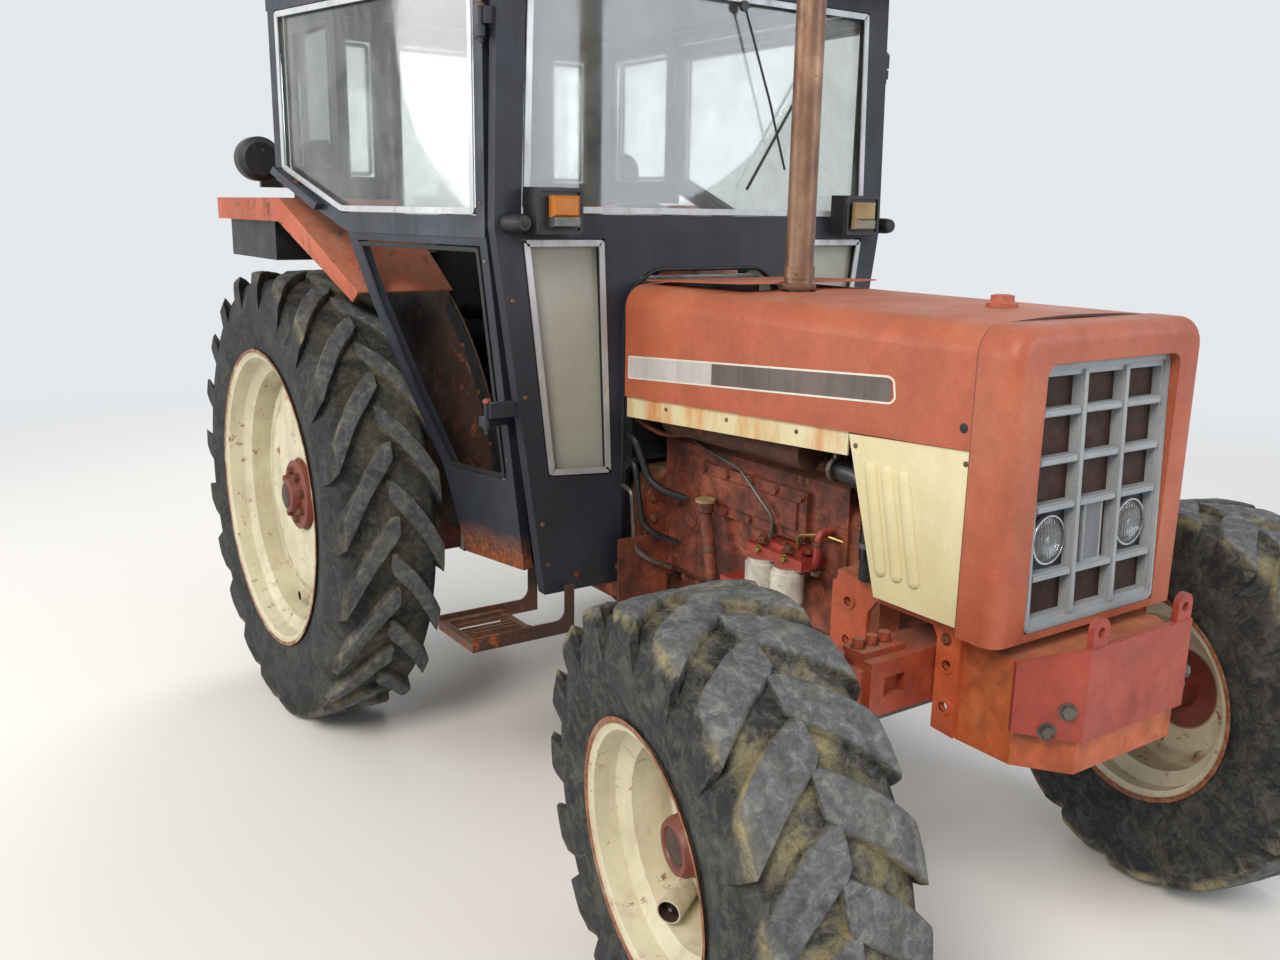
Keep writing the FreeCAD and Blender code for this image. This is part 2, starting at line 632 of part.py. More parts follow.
COVER_THICK = 16
COVER = inset([(190, 932), (620, 932), (620, 1062), (190, 1062)], 0)
cover_face = "-(engine_half + seat_gap + %d)" % COVER_THICK
cover_pieces = [
    plate("tappet_plate", "y", [COVER], COVER_THICK, "engine_rear", cover_face),
    plate("tappet_panel", "y", [inset(COVER, 30)], 8, "engine_rear", cover_face + " - 7"),
]
for x in (208, 306, 405, 504, 602):
    for z in (948, 1046):
        cover_pieces.append(cylinder("tappet_bolt", "y", 9, 12, from_rear(x), cover_face + " - 11", z))
node(fuse("tappet_cover_shape", cover_pieces), "tappet_cover")

MANIFOLD_Y, MANIFOLD_Z, MANIFOLD_RAD = -220, 1175, 40
head_face = "-(head_half + seat_gap)"
manifold_pieces = [
    cylinder("manifold_log", "x", MANIFOLD_RAD, 560, from_rear(110), MANIFOLD_Y, MANIFOLD_Z),
    cylinder("manifold_outlet", "z", 38, MANIFOLD_RAD, "exhaust_x", MANIFOLD_Y, MANIFOLD_Z),
]
for x in (150, 300, 460, 610):
    manifold_pieces.append(box("manifold_port", (from_rear(x - 28), from_rear(x + 28)),
                               (MANIFOLD_Y, head_face), (1146, 1204)))
    manifold_pieces.append(box("manifold_flange", (from_rear(x - 42), from_rear(x + 42)),
                               (head_face + " - 12", head_face),
                               (1138, 1216)))
node(fuse("manifold_shape", manifold_pieces), "manifold")


def canister(name, radius, high, x, y, low):
    """A filter's turned can, standing on its rounded bottom."""
    side = [(0, 0), (0, radius - 14), (10, radius), (high - 16, radius), (high - 12, radius - 6),
            (high, radius - 6), (high, 0)]
    return revolved(name, side, x, y, low, UPRIGHT)


side_face = "-(engine_half + seat_gap)"
node(fuse("filters_shape", [
    box("filter_head", (from_rear(470), from_rear(680)), (-240, side_face), (885, 912)),
    box("filter_bleed", (from_rear(500), from_rear(650)), (-215, side_face), (912, 924)),
    canister("fuel_filter_rear", 42, 108, from_rear(522), -230, 778),
    canister("fuel_filter_front", 42, 112, from_rear(620), -230, 774),
    canister("oil_filter", 46, 106, from_rear(420), -225, 665),
    box("oil_filter_head", (from_rear(380), from_rear(460)), (-250, side_face), (770, 800)),
]), "oil_and_fuel_filters")

FAN_X = "engine_front + 85 + seat_gap"
BLADE = [(30, 26, 38), (185, 40, 20)]  # radius, half width, pitch
blade = []
for radius, half, pitch in BLADE:
    along, across = math.sin(math.radians(pitch)), math.cos(math.radians(pitch))
    blade.append([(2 + half * along, half * across, radius), (half * along - 2, half * across, radius),
                  (-2 - half * along, -half * across, radius), (2 - half * along, -half * across, radius)])
fan_pieces = [revolved("fan_hub", [(0, 0), (0, 80), (5, 70), (10, 80), (14, 80), (14, 42), (38, 38),
                                   (38, 0)], FAN_X, 0, "fan_z")]
for index in range(6):
    one = feature("fan_blade_%d" % index, loft(blade))
    one.Placement = Placement(Vector(0, 0, 0), Rotation(Vector(1, 0, 0), 60 * index))
    fan_pieces.append(place(one, "engine_front + 106", 0, "fan_z"))
node(fuse("fan_shape", fan_pieces), "cooling_fan")

CAP_X = "wheelbase - 50"
HOSE_X, HOSE_Y = S.wheelbase - 145, -255
HOSE_RAD, HOSE_BEND = 27, 68
HOSE = [(S.engine_front + 20, -150 - S.seat_gap, 1168), (S.engine_front + 20, HOSE_Y, 1168),
        (HOSE_X, HOSE_Y, 1168),
        (HOSE_X, HOSE_Y, 985 + S.seat_gap)]
node(fuse("radiator_shape", [
    box("radiator_core", ("wheelbase - 140", "wheelbase - 80"), (-215, 215), (985, 1420)),
    plate("radiator_tank", "x", [arched(225, 1420, 1500, 24)], 140, "wheelbase - 163"),
    box("radiator_sump", ("wheelbase - 163", "wheelbase - 70"), (-225, 225), ("930 + seat_gap", 1000)),
    cylinder("radiator_outlet", "y", 20, 40, "wheelbase - 137", HOSE_Y, 956),
    cylinder("radiator_neck", "z", 24, 47, HOSE_X, HOSE_Y, 938),
    cylinder("filler_neck", "z", 24, "bonnet_top - 1496", CAP_X, 0, 1496),
]), "radiator")
node(revolved("cap_turn", [(0, 0), (0, 34), (8, 34), (12, 26), (22, 24), (26, 18), (26, 0)],
              CAP_X, 0, "bonnet_top + seat_gap", UPRIGHT), "radiator_cap")
node(feature("hose_shape", bent_pipe(HOSE, HOSE_BEND, HOSE_RAD)), "radiator_hose")

# Transmission: bell housing, gearbox and rear axle, one behind the other

BELL_FRONT = S.engine_rear - S.seat_gap
BELL_REAR = S.engine_rear - 225
bell = loft([octagon(BELL_REAR, 190, 505, 945, 60), octagon(BELL_REAR + 120, 228, 560, 1000, 74),
             octagon(BELL_FRONT, 228, 560, 1000, 74)])
gearbox = [plate("gearbox", "x", [octagon_outline(185, 510, 935, 48)], BELL_REAR - 200, 200)]
for index, x in enumerate((200, 545, BELL_REAR - 22)):
    gearbox.append(plate("gearbox_flange_%d" % index, "x", [octagon_outline(198, 500, 945, 52)], 22, x))
cab_mounts = []
for name, side in SIDES:
    cab_mounts += [
        box("cab_mount_plate_" + name, (from_rear(6), from_rear(16)), both("engine_half", 332, side),
            (580, 815)),
        box("cab_mount_shelf_" + name, ("engine_rear - 140", from_rear(10)), both(200, 332, side),
            ("floor_z - 60", "floor_z - 28 - seat_gap")),
    ]
node(fuse("transmission_shape", gearbox + [feature("bell_housing", bell)] + cab_mounts),
     "transmission_housing")

HOUSING_REAR, HOUSING_FRONT = -300, 200
HOUSING_HALF = 195
TRUMPET_END = S.rear_wheel_y + REAR_HUB[0] - 5  # clear of the wheel's hub
PTO_Z = 620
trumpet = [(0, 0), (0, 97), (24, 97), (34, 92), (250, 86), (TRUMPET_END - HOUSING_HALF - 30, 84),
           (TRUMPET_END - HOUSING_HALF - 24, 97), (TRUMPET_END - HOUSING_HALF, 97),
           (TRUMPET_END - HOUSING_HALF, 0)]
axle_pieces = [
    plate("differential", "x", [octagon_outline(HOUSING_HALF, 450, 1000, 56)],
          "%d - seat_gap" % (HOUSING_FRONT - HOUSING_REAR),
          HOUSING_REAR),
    plate("lift_cover", "x", [arched(165, 1000, 1090, 36)], 390, HOUSING_REAR),
    revolved("pto", [(-60, 0), (-60, 62), (12, 62), (20, 45), (20, S.shaft_rad), (90, S.shaft_rad),
                     (90, 0)],
             HOUSING_REAR, 0, PTO_Z, Rotation(Vector(0, 0, 1), 180)),
]
axle_tools = [
    cylinder("rock_bore", "y", "rock_rad + running_gap", 700, "-arm_back", -350, "arm_z"),
    cylinder("top_link_bore", "y", "top_pin_rad", 120, HOUSING_REAR - 42, -60, 915),
]
for name, side in SIDES:
    axle_pieces += [
        revolved("trumpet_" + name, trumpet, 0, side * HOUSING_HALF, "rear_tyre_rad", wheel_turn(side)),
        cylinder("cab_pedestal_" + name, "z", 42, "deck_z - seat_gap - 830", 0, "%d * 430" % side, 830),
        box("link_bracket_" + name, ("-arm_back - 40", "-arm_back + 40"), both(HOUSING_HALF, 280, side),
            (430, 560)),
        box("top_link_ear_" + name, (HOUSING_REAR - 70, HOUSING_REAR), both(28, 42, side), (870, 960)),
    ]
    for tag, radius, span, z in (("rock_boss", 48, ("165", "link_y - 18"), "arm_z"),
                                 ("link_pin", "link_pin_rad", ("195", "link_y + 28"), "link_z")):
        low, high = both(span[0], span[1], side)
        axle_pieces.append(cylinder("%s_%s" % (tag, name), "y", radius, "(%s) - (%s)" % (high, low),
                                    "-arm_back", low, z))
    low, high = both("rear_wheel_y - 166", "rear_wheel_y - 46", side)
    axle_tools.append(cylinder("axle_bore_" + name, "y", "%s + running_gap" % REAR_HUB[3],
                               "(%s) - (%s)" % (high, low),
                               0, low, "rear_tyre_rad"))
node(cut("rear_axle_shape", fuse("rear_axle_solid", axle_pieces), axle_tools), "rear_axle_housing")

DRAWBAR_Z, DRAWBAR_THICK = 384, 32
DRAWBAR_PIN, DRAWBAR_END = 762, 40
node(fuse("drawbar_shape", [
    box("drawbar_frame", (HOUSING_REAR - 48, "%d - seat_gap" % HOUSING_REAR), (-110, 110), (360, 520)),
    plate("drawbar_bar", "z", [[(320, -DRAWBAR_END), (320, DRAWBAR_END), (DRAWBAR_PIN, DRAWBAR_END),
                                (DRAWBAR_PIN, -DRAWBAR_END, (DRAWBAR_PIN + DRAWBAR_END, 0))]],
          DRAWBAR_THICK, 0, 0, DRAWBAR_Z, Rotation(Vector(0, 0, 1), 180),
          holes=[(DRAWBAR_PIN, 0, S.drawbar_hole_rad)]),
]), "drawbar")

# Lift linkage: two arms on one shaft, two rods and two lower links


def strap(reach, near, far):
    """A bar from the origin back to a reach, with round ends of two radii."""
    return [(0, -near), (0, near, (near, 0)), (-reach, far), (-reach, -far, (-reach - far, 0))]


def cross_pin(name, radius, side, low, high, x, z):
    """A cylinder across the tractor between two distances from its middle."""
    low, high = both(low, high, side)
    return cylinder(name, "y", radius, "(%s) - (%s)" % (high, low), x, low, z)


BORE = "link_pin_rad + running_gap"
ROD_X = "-arm_back - arm_reach"
rod_long = S.arm_z - S.link_z
ROD = [(16, 40), (16, rod_long - 40), (26, rod_long), (-26, rod_long, (0, rod_long + 26)),
       (-16, rod_long - 40), (-16, 40),
       (-26, 0), (26, 0, (0, -26))]
arm_pieces = [cylinder("rock_shaft", "y", "rock_rad", "2 * (link_y + 12)", "-arm_back", "-(link_y + 12)",
                       "arm_z")]
rod_pieces = []
link_pieces = []
for name, side in SIDES:
    inner = both("link_y - link_thick/2", "link_y + link_thick/2", side)[0]
    arm_pieces += [
        plate("lift_arm_" + name, "y", [strap(S.arm_reach, 42, 28)], "link_thick", "-arm_back", inner,
              "arm_z"),
        cross_pin("lift_arm_pin_" + name, "link_pin_rad", side, "link_y", "link_y + 55", ROD_X, "arm_z"),
    ]
    rod = plate("lift_rod_body_" + name, "y", [ROD], 28, ROD_X, both("link_y + 18", "link_y + 46", side)[0],
                "link_z")
    rod_pieces.append(cut("lift_rod_" + name, rod, [
        cross_pin("rod_%s_bore_%s" % (tag, name), BORE, side, "link_y", "link_y + 60", ROD_X, z)
        for tag, z in (("low", "link_z"), ("top", "arm_z"))]))
    link = fuse("lower_link_solid_" + name, [
        plate("lower_link_bar_" + name, "y", [strap(S.link_reach, 30, 24)], "link_thick", "-arm_back",
              inner, "link_z"),
        cross_pin("link_eye_" + name, 36, side, "link_y - 23", "link_y + 23", "-arm_back - link_reach",
                  "link_z"),
        cross_pin("link_rod_pin_" + name, "link_pin_rad", side, "link_y", "link_y + 55", ROD_X, "link_z"),
    ])
    link_pieces.append(cut("lower_link_" + name, link, [
        cross_pin("link_pivot_bore_" + name, BORE, side, "link_y - 30", "link_y + 30", "-arm_back",
                  "link_z"),
        cross_pin("link_ball_bore_" + name, "link_ball_rad", side, "link_y - 40", "link_y + 40",
                  "-arm_back - link_reach", "link_z")]))
node(fuse("lift_arms_shape", arm_pieces), "lift_arms")
node(group("lift_rods_shape", rod_pieces), "lift_rods")
node(group("lower_links_shape", link_pieces), "lower_links")

# Front support, side rails and weight bracket; outlines count x from the front axle

CASTING_LOW, CASTING_TOP = 655, 880
CASTING_FRONT = 353
RAIL_FRONT = 117
CASTING = [(RAIL_FRONT, -S.rail_half), (255, -S.rail_half), (CASTING_FRONT, -165), (CASTING_FRONT, 165),
           (255, S.rail_half), (RAIL_FRONT, S.rail_half)]
WEB_X = ("engine_front + 55 + seat_gap", "wheelbase - 205")
node(fuse("casting_solid", [
    plate("casting_nose", "z", [CASTING], CASTING_TOP - CASTING_LOW, "wheelbase", 0, CASTING_LOW),
    plate("casting_top", "z", [[(-225, -90), (60, -110), (146, -110), (146, 110), (60, 110), (-225, 90)]],
          35, "wheelbase", 0, 895),
    box("casting_web_right", WEB_X, (-150, -80), (720, 930)),
    box("casting_web_left", WEB_X, (80, 150), (720, 930)),
    box("casting_cross", WEB_X, ("-rail_half", "rail_half"), (880, 930)),
    plate("casting_ear", "x", [mirrored([(46, 730), (70, 770), (84, 930)])], 60, "wheelbase - 135"),
    cylinder("pivot_pin", "x", "pivot_rad", 280, "wheelbase - 135", 0, "beam_z"),
]), "front_support")

RAIL = [(-260, 645), (-150, 645), (-145, 860), (-120, 893), (45, 893), (60, 870), (60, 665), (120, 660),
        (123, 900),
        (55, 930), (-223, 932), (-260, 905)]
RAIL_BOLTS = [(-205, 870), (-205, 777), (92, 817), (92, 723)]
node(group("side_rails_shape", [
    plate("side_rail_" + name, "y", [RAIL], "rail_thick", "wheelbase",
          both("rail_half + seat_gap", "rail_half + seat_gap + rail_thick", side)[0], 0,
          holes=[(x, z, S.bolt_rad) for x, z in RAIL_BOLTS])
    for name, side in SIDES]), "side_rails")

BRACKET_REAR, BRACKET_THICK = CASTING_FRONT + S.seat_gap, 15.7
BRACKET_HALF = 172
bracket_pieces = [box("bracket_plate", ("wheelbase + %s" % BRACKET_REAR,
                                        "wheelbase + %s" % (BRACKET_REAR + BRACKET_THICK)),
                      (-BRACKET_HALF, BRACKET_HALF), (730, 925))]
for name, side in SIDES:
    front, rear = S.wheelbase + BRACKET_REAR + BRACKET_THICK, S.wheelbase + BRACKET_REAR + 0.7
    bracket_pieces += [
        feature("bracket_wing_" + name, loft([
            [(rear, side * BRACKET_HALF, 730), (front, side * BRACKET_HALF, 730),
             (front, side * BRACKET_HALF, 925), (rear, side * BRACKET_HALF, 925)],
            [(front - 102, side * 268, 745), (front - 90, side * 276, 745),
             (front - 90, side * 276, 890), (front - 102, side * 268, 890)]])),
        plate("bracket_ear_" + name, "x", [[(side * 118, 925), (side * 168, 925), (side * 168, 955),
                                            (side * 118, 955, (side * 143, 985))]],
              BRACKET_THICK - 2, "wheelbase + %s" % BRACKET_REAR),
    ]
node(cut("bracket_shape", fuse("bracket_solid", bracket_pieces), [
    cylinder("ear_bore_" + name, "x", "bolt_rad", 60, "wheelbase + %s" % (BRACKET_REAR - 20),
             "%d * 143" % side, 955)
    for name, side in SIDES]), "weight_bracket")

# Bonnet: a bent sheet with a crowned top, cut along its sloping lower edge

EDGE_DROP = 8  # the shoulders' rounding ends this far under the crown


def bonnet_outline(half, top, low, radius):
    """Cross-section with rounded shoulders and a slightly crowned top."""
    edge = top - EDGE_DROP
    k = radius * (1 - math.sqrt(0.5))
    return [(-half, low), (half, low), (half, top - radius),
            (half - radius, edge, (half - k - 2, edge - k + 4)),
            (radius - half, edge, (0, top)), (-half, top - radius, (k + 2 - half, edge - k + 4))]


LENGTH = "bonnet_front - bonnet_rear"
front_low = S.bonnet_low + S.bonnet_rise
bonnet_long = S.bonnet_front - S.bonnet_rear
trim = [(-20, S.bonnet_low - 226), (bonnet_long + 20, S.bonnet_low - 226), (bonnet_long + 20, front_low),
        (-20, S.bonnet_low)]
node(cut("bonnet_shape",
         plate("bonnet_outer", "x",
               [bonnet_outline(S.bonnet_half, S.bonnet_top, S.bonnet_low - 26, S.bonnet_round)],
               LENGTH, "bonnet_rear"), [
    plate("bonnet_inner", "x",
          [bonnet_outline(S.bonnet_half - S.sheet, S.bonnet_top - S.sheet, S.bonnet_low - 126,
                                               S.bonnet_round - 4)], LENGTH + " + 40", "bonnet_rear - 20"),
    plate("bonnet_trim", "y", [trim], 2 * S.bonnet_half + 200, "bonnet_rear", "-bonnet_half - 100"),
    cylinder("exhaust_hole", "z", "exhaust_rad + 9", 100, "exhaust_x", "-exhaust_y", "bonnet_top - 60"),
    cylinder("neck_hole", "z", 27, 100, CAP_X, 0, "bonnet_top - 60"),
    box("hatch_hole", ("bonnet_rear + 50", "bonnet_rear + 395"), (-190, 190),
        ("bonnet_top - 45", "bonnet_top + 55")),
    cylinder("corner_hole", "y", 9, "2 * bonnet_half + 200", "bonnet_front - 24", "-bonnet_half - 100",
             "bonnet_low + 106"),
]), "bonnet")
HATCH = [(0, -245), (0, 245), (400, 235), (425, 160), (425, -30), (395, -30), (395, -130), (425, -130),
         (425, -170), (400, -235)]
node(plate("hatch_plate", "z", [HATCH], 4, "bonnet_rear + 20", 0, "bonnet_top + seat_gap",
           Rotation(Vector(0, 1, 0), -2.2)),
     "bonnet_hatch")

# Nose: a rounded shell in front of the seam, with the grille's opening and a rim behind it

OPENING_HALF = S.grille_half + 0.6
GRILLE_ROUND = 26
opening = arched(OPENING_HALF, S.grille_low - 0.4, S.grille_top + 0.9, GRILLE_ROUND + 0.5)
nose_deep = S.nose_long - S.seat_gap
nose_outer = rounded(plate("nose_outer", "x", [arched(S.nose_half, S.nose_low, S.nose_top, S.nose_round)],
                           "nose_long - seat_gap", "bonnet_front + seat_gap"), 34,
                     lambda b: b.XMin > nose_deep - 1 and b.ZMax > S.nose_low + 1)
nose_inner = plate("nose_inner", "x",
                   [arched(S.nose_half - S.nose_wall, S.nose_low - 40, S.nose_top - S.nose_wall,
                                              S.nose_round - S.nose_wall)], "nose_long - 14",
                                              "bonnet_front - 8")
nose_rim = plate("nose_rim", "x",
                 [arched(OPENING_HALF + 4, S.grille_low - 5, S.grille_top + 5, GRILLE_ROUND + 5)], 52,
                 "nose_front - 56")
sill = box("nose_sill", ("bonnet_front + 4", "bonnet_front + 48"), ("3 - nose_half", "nose_half - 3"),
           ("nose_low", "nose_low + 8"))
feet = [box("nose_foot_" + name, ("bonnet_front + 8", "bonnet_front + 44"), both(120, 180, side),
            ("%d + seat_gap" % CASTING_TOP, "nose_low")) for name, side in SIDES]
node(cut("nose_shape",
         fuse("nose_solid", [cut("nose_shell", nose_outer, [nose_inner]), nose_rim, sill] + feet),
         [plate("nose_opening", "x", [opening], 100, "nose_front - 60")]), "nose_cowl")

# Grille: three columns of cells, leaning back, with a blank plaque in the middle

GRILLE_LEAN = 22  # how much farther forward the grille's foot stands than its top
ROWS = (0.184, 0.362, 0.536, 0.795)  # cross bars as shares of the height, from the top
GRILLE_EDGE = 13  # outer bar, to its middle line
grille_high = S.grille_top - S.grille_low
lean = Rotation(Vector(0, 1, 0), -math.degrees(math.atan2(GRILLE_LEAN, grille_high)))
levels = [grille_high - 20] + [grille_high * (1 - share) for share in ROWS] + [20]
step_y = 2 * (S.grille_half - GRILLE_EDGE) / 3
cells = []
for upper, lower in zip(levels, levels[1:]):
    for column in (-1, 0, 1):
        left = column * step_y - (step_y - S.grille_bar) / 2
        right = left + step_y - S.grille_bar
        cells.append([(left, lower + S.grille_bar / 2), (right, lower + S.grille_bar / 2),
                      (right, upper - S.grille_bar / 2), (left, upper - S.grille_bar / 2)])
GRILLE_BACK = "nose_front - grille_depth - 6"
node(fuse("grille_shape", [
    plate("grille_bars", "x", [arched(S.grille_half, 0, grille_high, GRILLE_ROUND)] + cells, "grille_depth",
          GRILLE_BACK, 0, "grille_low", lean),
    plate("grille_plaque", "x", [[(-32, levels[4]), (32, levels[4]), (32, levels[3]), (-32, levels[3])]],
          12,
          GRILLE_BACK + " + 2", 0, "grille_low", lean),
]), "grille")
node(plate("grille_mesh_plate", "x", [arched(S.grille_half - 2, 2, grille_high - 2, GRILLE_ROUND - 2)], 3,
           GRILLE_BACK + " - 3 - seat_gap", 0, "grille_low", lean), "grille_mesh")
LENS = [(0, 0), (0, S.lamp_rad), (4, S.lamp_rad), (8, S.lamp_rad - 12), (10, S.lamp_rad - 30), (10, 0)]
lamp_level = 0.5 * (levels[3] + levels[4])
lamps = []
for name, side in SIDES:
    lamp = revolved("headlamp_" + name, LENS, 0, 0, 0)
    at = lean.multVec(Vector(0, side * step_y, lamp_level))
    lamp.Placement = Placement(Vector(0, 0, 0), lean)
    lamps.append(place(lamp, GRILLE_BACK + " + (%s)" % at.x, at.y, "grille_low + %s" % at.z))
node(group("headlamps_shape", lamps), "headlamps")

# Side panels beside the radiator and the cream strips along the bonnet's lower edge

PANEL = [(-237, S.nose_low + 14), (-2, S.nose_low + 14), (-2, front_low - 2), (-340, front_low - 22),
         (-332, front_low - 50)]
PANEL_THICK, RIB_HIGH = 5, 8
STRIP_THICK = 4
strip_long = bonnet_long - 344
STRIP = [(5, S.bonnet_low - 58), (strip_long, S.bonnet_low - 8), (strip_long, S.bonnet_low + 62),
         (5, S.bonnet_low + 19)]
panels = []
strips = []
for name, side in SIDES:
    pieces = [plate("side_panel_sheet_" + name, "y", [PANEL], PANEL_THICK, "bonnet_front",
                    both("bonnet_half - 8 - seat_gap", "bonnet_half - 3 - seat_gap", side)[0])]
    rib_y = both("bonnet_half - 3 - seat_gap", "bonnet_half - 3 - seat_gap + %d" % RIB_HIGH, side)[0]
    for index in range(3):
        rib = [(52, 985), (66, 985), (18, 1205), (4, 1205)]
        pieces.append(plate("side_panel_rib_%s_%d" % (name, index), "y", [rib], RIB_HIGH,
                            "bonnet_front - 280 + %d" % (48 * index), rib_y))
    panels.append(fuse("side_panel_" + name, pieces))
    strips.append(plate("strip_" + name, "y", [STRIP], STRIP_THICK, "bonnet_rear",
                        both("bonnet_half - sheet - 4 - seat_gap", "bonnet_half - sheet - seat_gap",
                             side)[0]))
node(group("side_panels_shape", panels), "side_panels")
node(group("strips_shape", strips), "bonnet_strips")

# Exhaust: an elbow up from the manifold, then the pipe above the bonnet

ELBOW_RAD, ELBOW_BEND = 29, 50
MANIFOLD_TOP = MANIFOLD_Z + MANIFOLD_RAD + S.seat_gap
elbow = bent_pipe([(S.exhaust_x, MANIFOLD_Y, MANIFOLD_TOP), (S.exhaust_x, MANIFOLD_Y, 1361),
                   (S.exhaust_x, -S.exhaust_y, 1361), (S.exhaust_x, -S.exhaust_y, S.bonnet_top + 28)],
                   ELBOW_BEND, ELBOW_RAD)
node(cut("exhaust_shape", fuse("exhaust_solid", [
    feature("exhaust_elbow", elbow),
    cylinder("exhaust_pipe", "z", "exhaust_rad", "exhaust_rise - 17", "exhaust_x", "-exhaust_y",
             "bonnet_top + 17"),
]), [cylinder("exhaust_bore", "z", "exhaust_rad - exhaust_wall", "exhaust_rise", "exhaust_x", "-exhaust_y",
              "bonnet_top + 155")]), "exhaust_stack")

# Cab: front wall, side walls, rear wall, glass, roof and floor

FOOT_HALF = S.cab_half - S.foot_tuck
TOP_HALF = S.cab_half - S.top_tuck
TUNNEL_HALF = S.bonnet_half - 11
FLOOR_EDGE = S.floor_z - 28
# Height, reach of the bracket into the wall, width of the leaf
HINGES = ((S.cab_waist - 530, 100, 88), (S.cab_waist + 460, 40, 18))
HINGE_HIGH = 26

cab_side = [(FOOT_HALF, FLOOR_EDGE), (S.cab_half, S.cab_waist), (TOP_HALF, S.cab_top)]
ARCH_SIDE, ARCH_MIDDLE, ARCH_TOP = S.bonnet_top - 115, S.bonnet_top - 15, S.bonnet_top + 27
wall_outline = [(TUNNEL_HALF, FLOOR_EDGE)] + cab_side + [(-y, z) for y, z in reversed(cab_side)] + [
    (-TUNNEL_HALF, FLOOR_EDGE), (-TUNNEL_HALF, ARCH_SIDE), (-190, ARCH_TOP, (-262, ARCH_MIDDLE)),
    (190, ARCH_TOP),
    (TUNNEL_HALF, ARCH_SIDE, (262, ARCH_MIDDLE))]
WINDSCREEN = mirrored([(S.cab_half - 78, S.cab_waist + 32), (S.cab_half - 98, S.cab_top - 70)])
QUARTERS = [[(s * y, z) for y, z in ((TUNNEL_HALF + 66, S.cab_waist - 30),
                                     (S.cab_half - 78, S.cab_waist - 30),
                                     (S.cab_half - 156, S.floor_z + 314),
                                     (TUNNEL_HALF + 36, S.floor_z + 300))]
            for s in (-1, 1)]
front_pieces = [plate("front_wall", "x", [wall_outline, WINDSCREEN] + QUARTERS, "cab_wall",
                      "cab_front - cab_wall")]
for name, side in SIDES:
    for z, reach, leaf_wide in HINGES:
        front_pieces += [
            box("hinge_bracket", ("cab_front - cab_wall", "cab_front - 12"),
                both("cab_half - %d" % reach, "door_hinge_y - 2", side),
                (z + 30, z + 70)),
            cylinder("hinge_pin", "z", "door_pin_rad", 84, "door_hinge_x", "%d * door_hinge_y" % side,
                     z - 14),
        ]
node(fuse("front_wall_shape", front_pieces), "cab_front_wall")

REAR_X = -S.cab_tail + S.cab_wall + S.seat_gap
FRONT_X = S.cab_front - S.cab_wall - S.seat_gap
HEADER = S.cab_top - 44
SIDE_WALL = [(REAR_X, S.fender_top + 5), (S.pillar_x, S.fender_top + 5), (S.pillar_x, HEADER),
             (FRONT_X, HEADER),
             (FRONT_X, S.cab_top), (REAR_X, S.cab_top)]
SIDE_WINDOW = [(REAR_X + 32, S.cab_waist + 160), (S.pillar_x - 50, S.cab_waist + 160),
               (S.pillar_x - 50, S.cab_top - 70),
               (REAR_X + 32, S.cab_top - 70)]
DECK_TOP = "deck_z + floor_sheet + seat_gap"
inner_half = S.skirt_y - S.fender_sheet - 1
rear_half = [(inner_half, S.deck_z + S.floor_sheet + S.seat_gap), (inner_half, S.fender_top + S.seat_gap),
             (S.cab_half, S.fender_top + S.seat_gap), (S.cab_half, S.cab_top)]
REAR_WINDOW = mirrored([(280, S.cab_waist - 130), (280, S.cab_top - 80)])
REAR_QUARTERS = [[(s * y, z) for y, z in ((380, S.cab_waist + 150), (S.cab_half - 150, S.cab_waist + 150),
                                          (S.cab_half - 150, S.cab_top - 80),
                                          (380, S.cab_top - 80))] for s in (-1, 1)]
side_walls = []
glass = []
for points in [WINDSCREEN] + QUARTERS:
    glass.append(plate("front_glass", "x", [inset(points, S.seat_gap)], "pane", "cab_front - 24"))
for name, side in SIDES:
    side_walls.append(plate("side_wall_" + name, "y", [SIDE_WALL, SIDE_WINDOW], "cab_wall", 0,
                            both("cab_half - cab_wall", "cab_half", side)[0]))
    glass.append(plate("side_glass_" + name, "y", [inset(SIDE_WINDOW, S.seat_gap)], "pane", 0,
                       both("cab_half - 22", "cab_half - 22 + pane", side)[0]))
for points in [REAR_WINDOW] + REAR_QUARTERS:
    glass.append(plate("rear_glass", "x", [inset(points, S.seat_gap)], "pane", "-cab_tail + 16"))
node(group("side_walls_shape", side_walls), "cab_side_walls")
node(plate("rear_wall", "x", [mirrored(rear_half), REAR_WINDOW] + REAR_QUARTERS, "cab_wall", "-cab_tail"),
     "cab_rear_wall")
node(group("cab_glass_shape", glass), "cab_glass")

roof_half = S.cab_half + S.roof_edge
roof = plate("roof", "z",
             [[(-S.cab_tail - 80, -roof_half), (S.cab_front + 110, -roof_half),
               (S.cab_front + 110, roof_half),
                            (-S.cab_tail - 80, roof_half)]], "roof_thick - seat_gap", 0, 0,
                            "cab_top + seat_gap")
node(rounded(roof, 45, lambda b: b.ZMin > S.roof_thick - 10 or b.ZMax - b.ZMin > 50), "cab_roof")

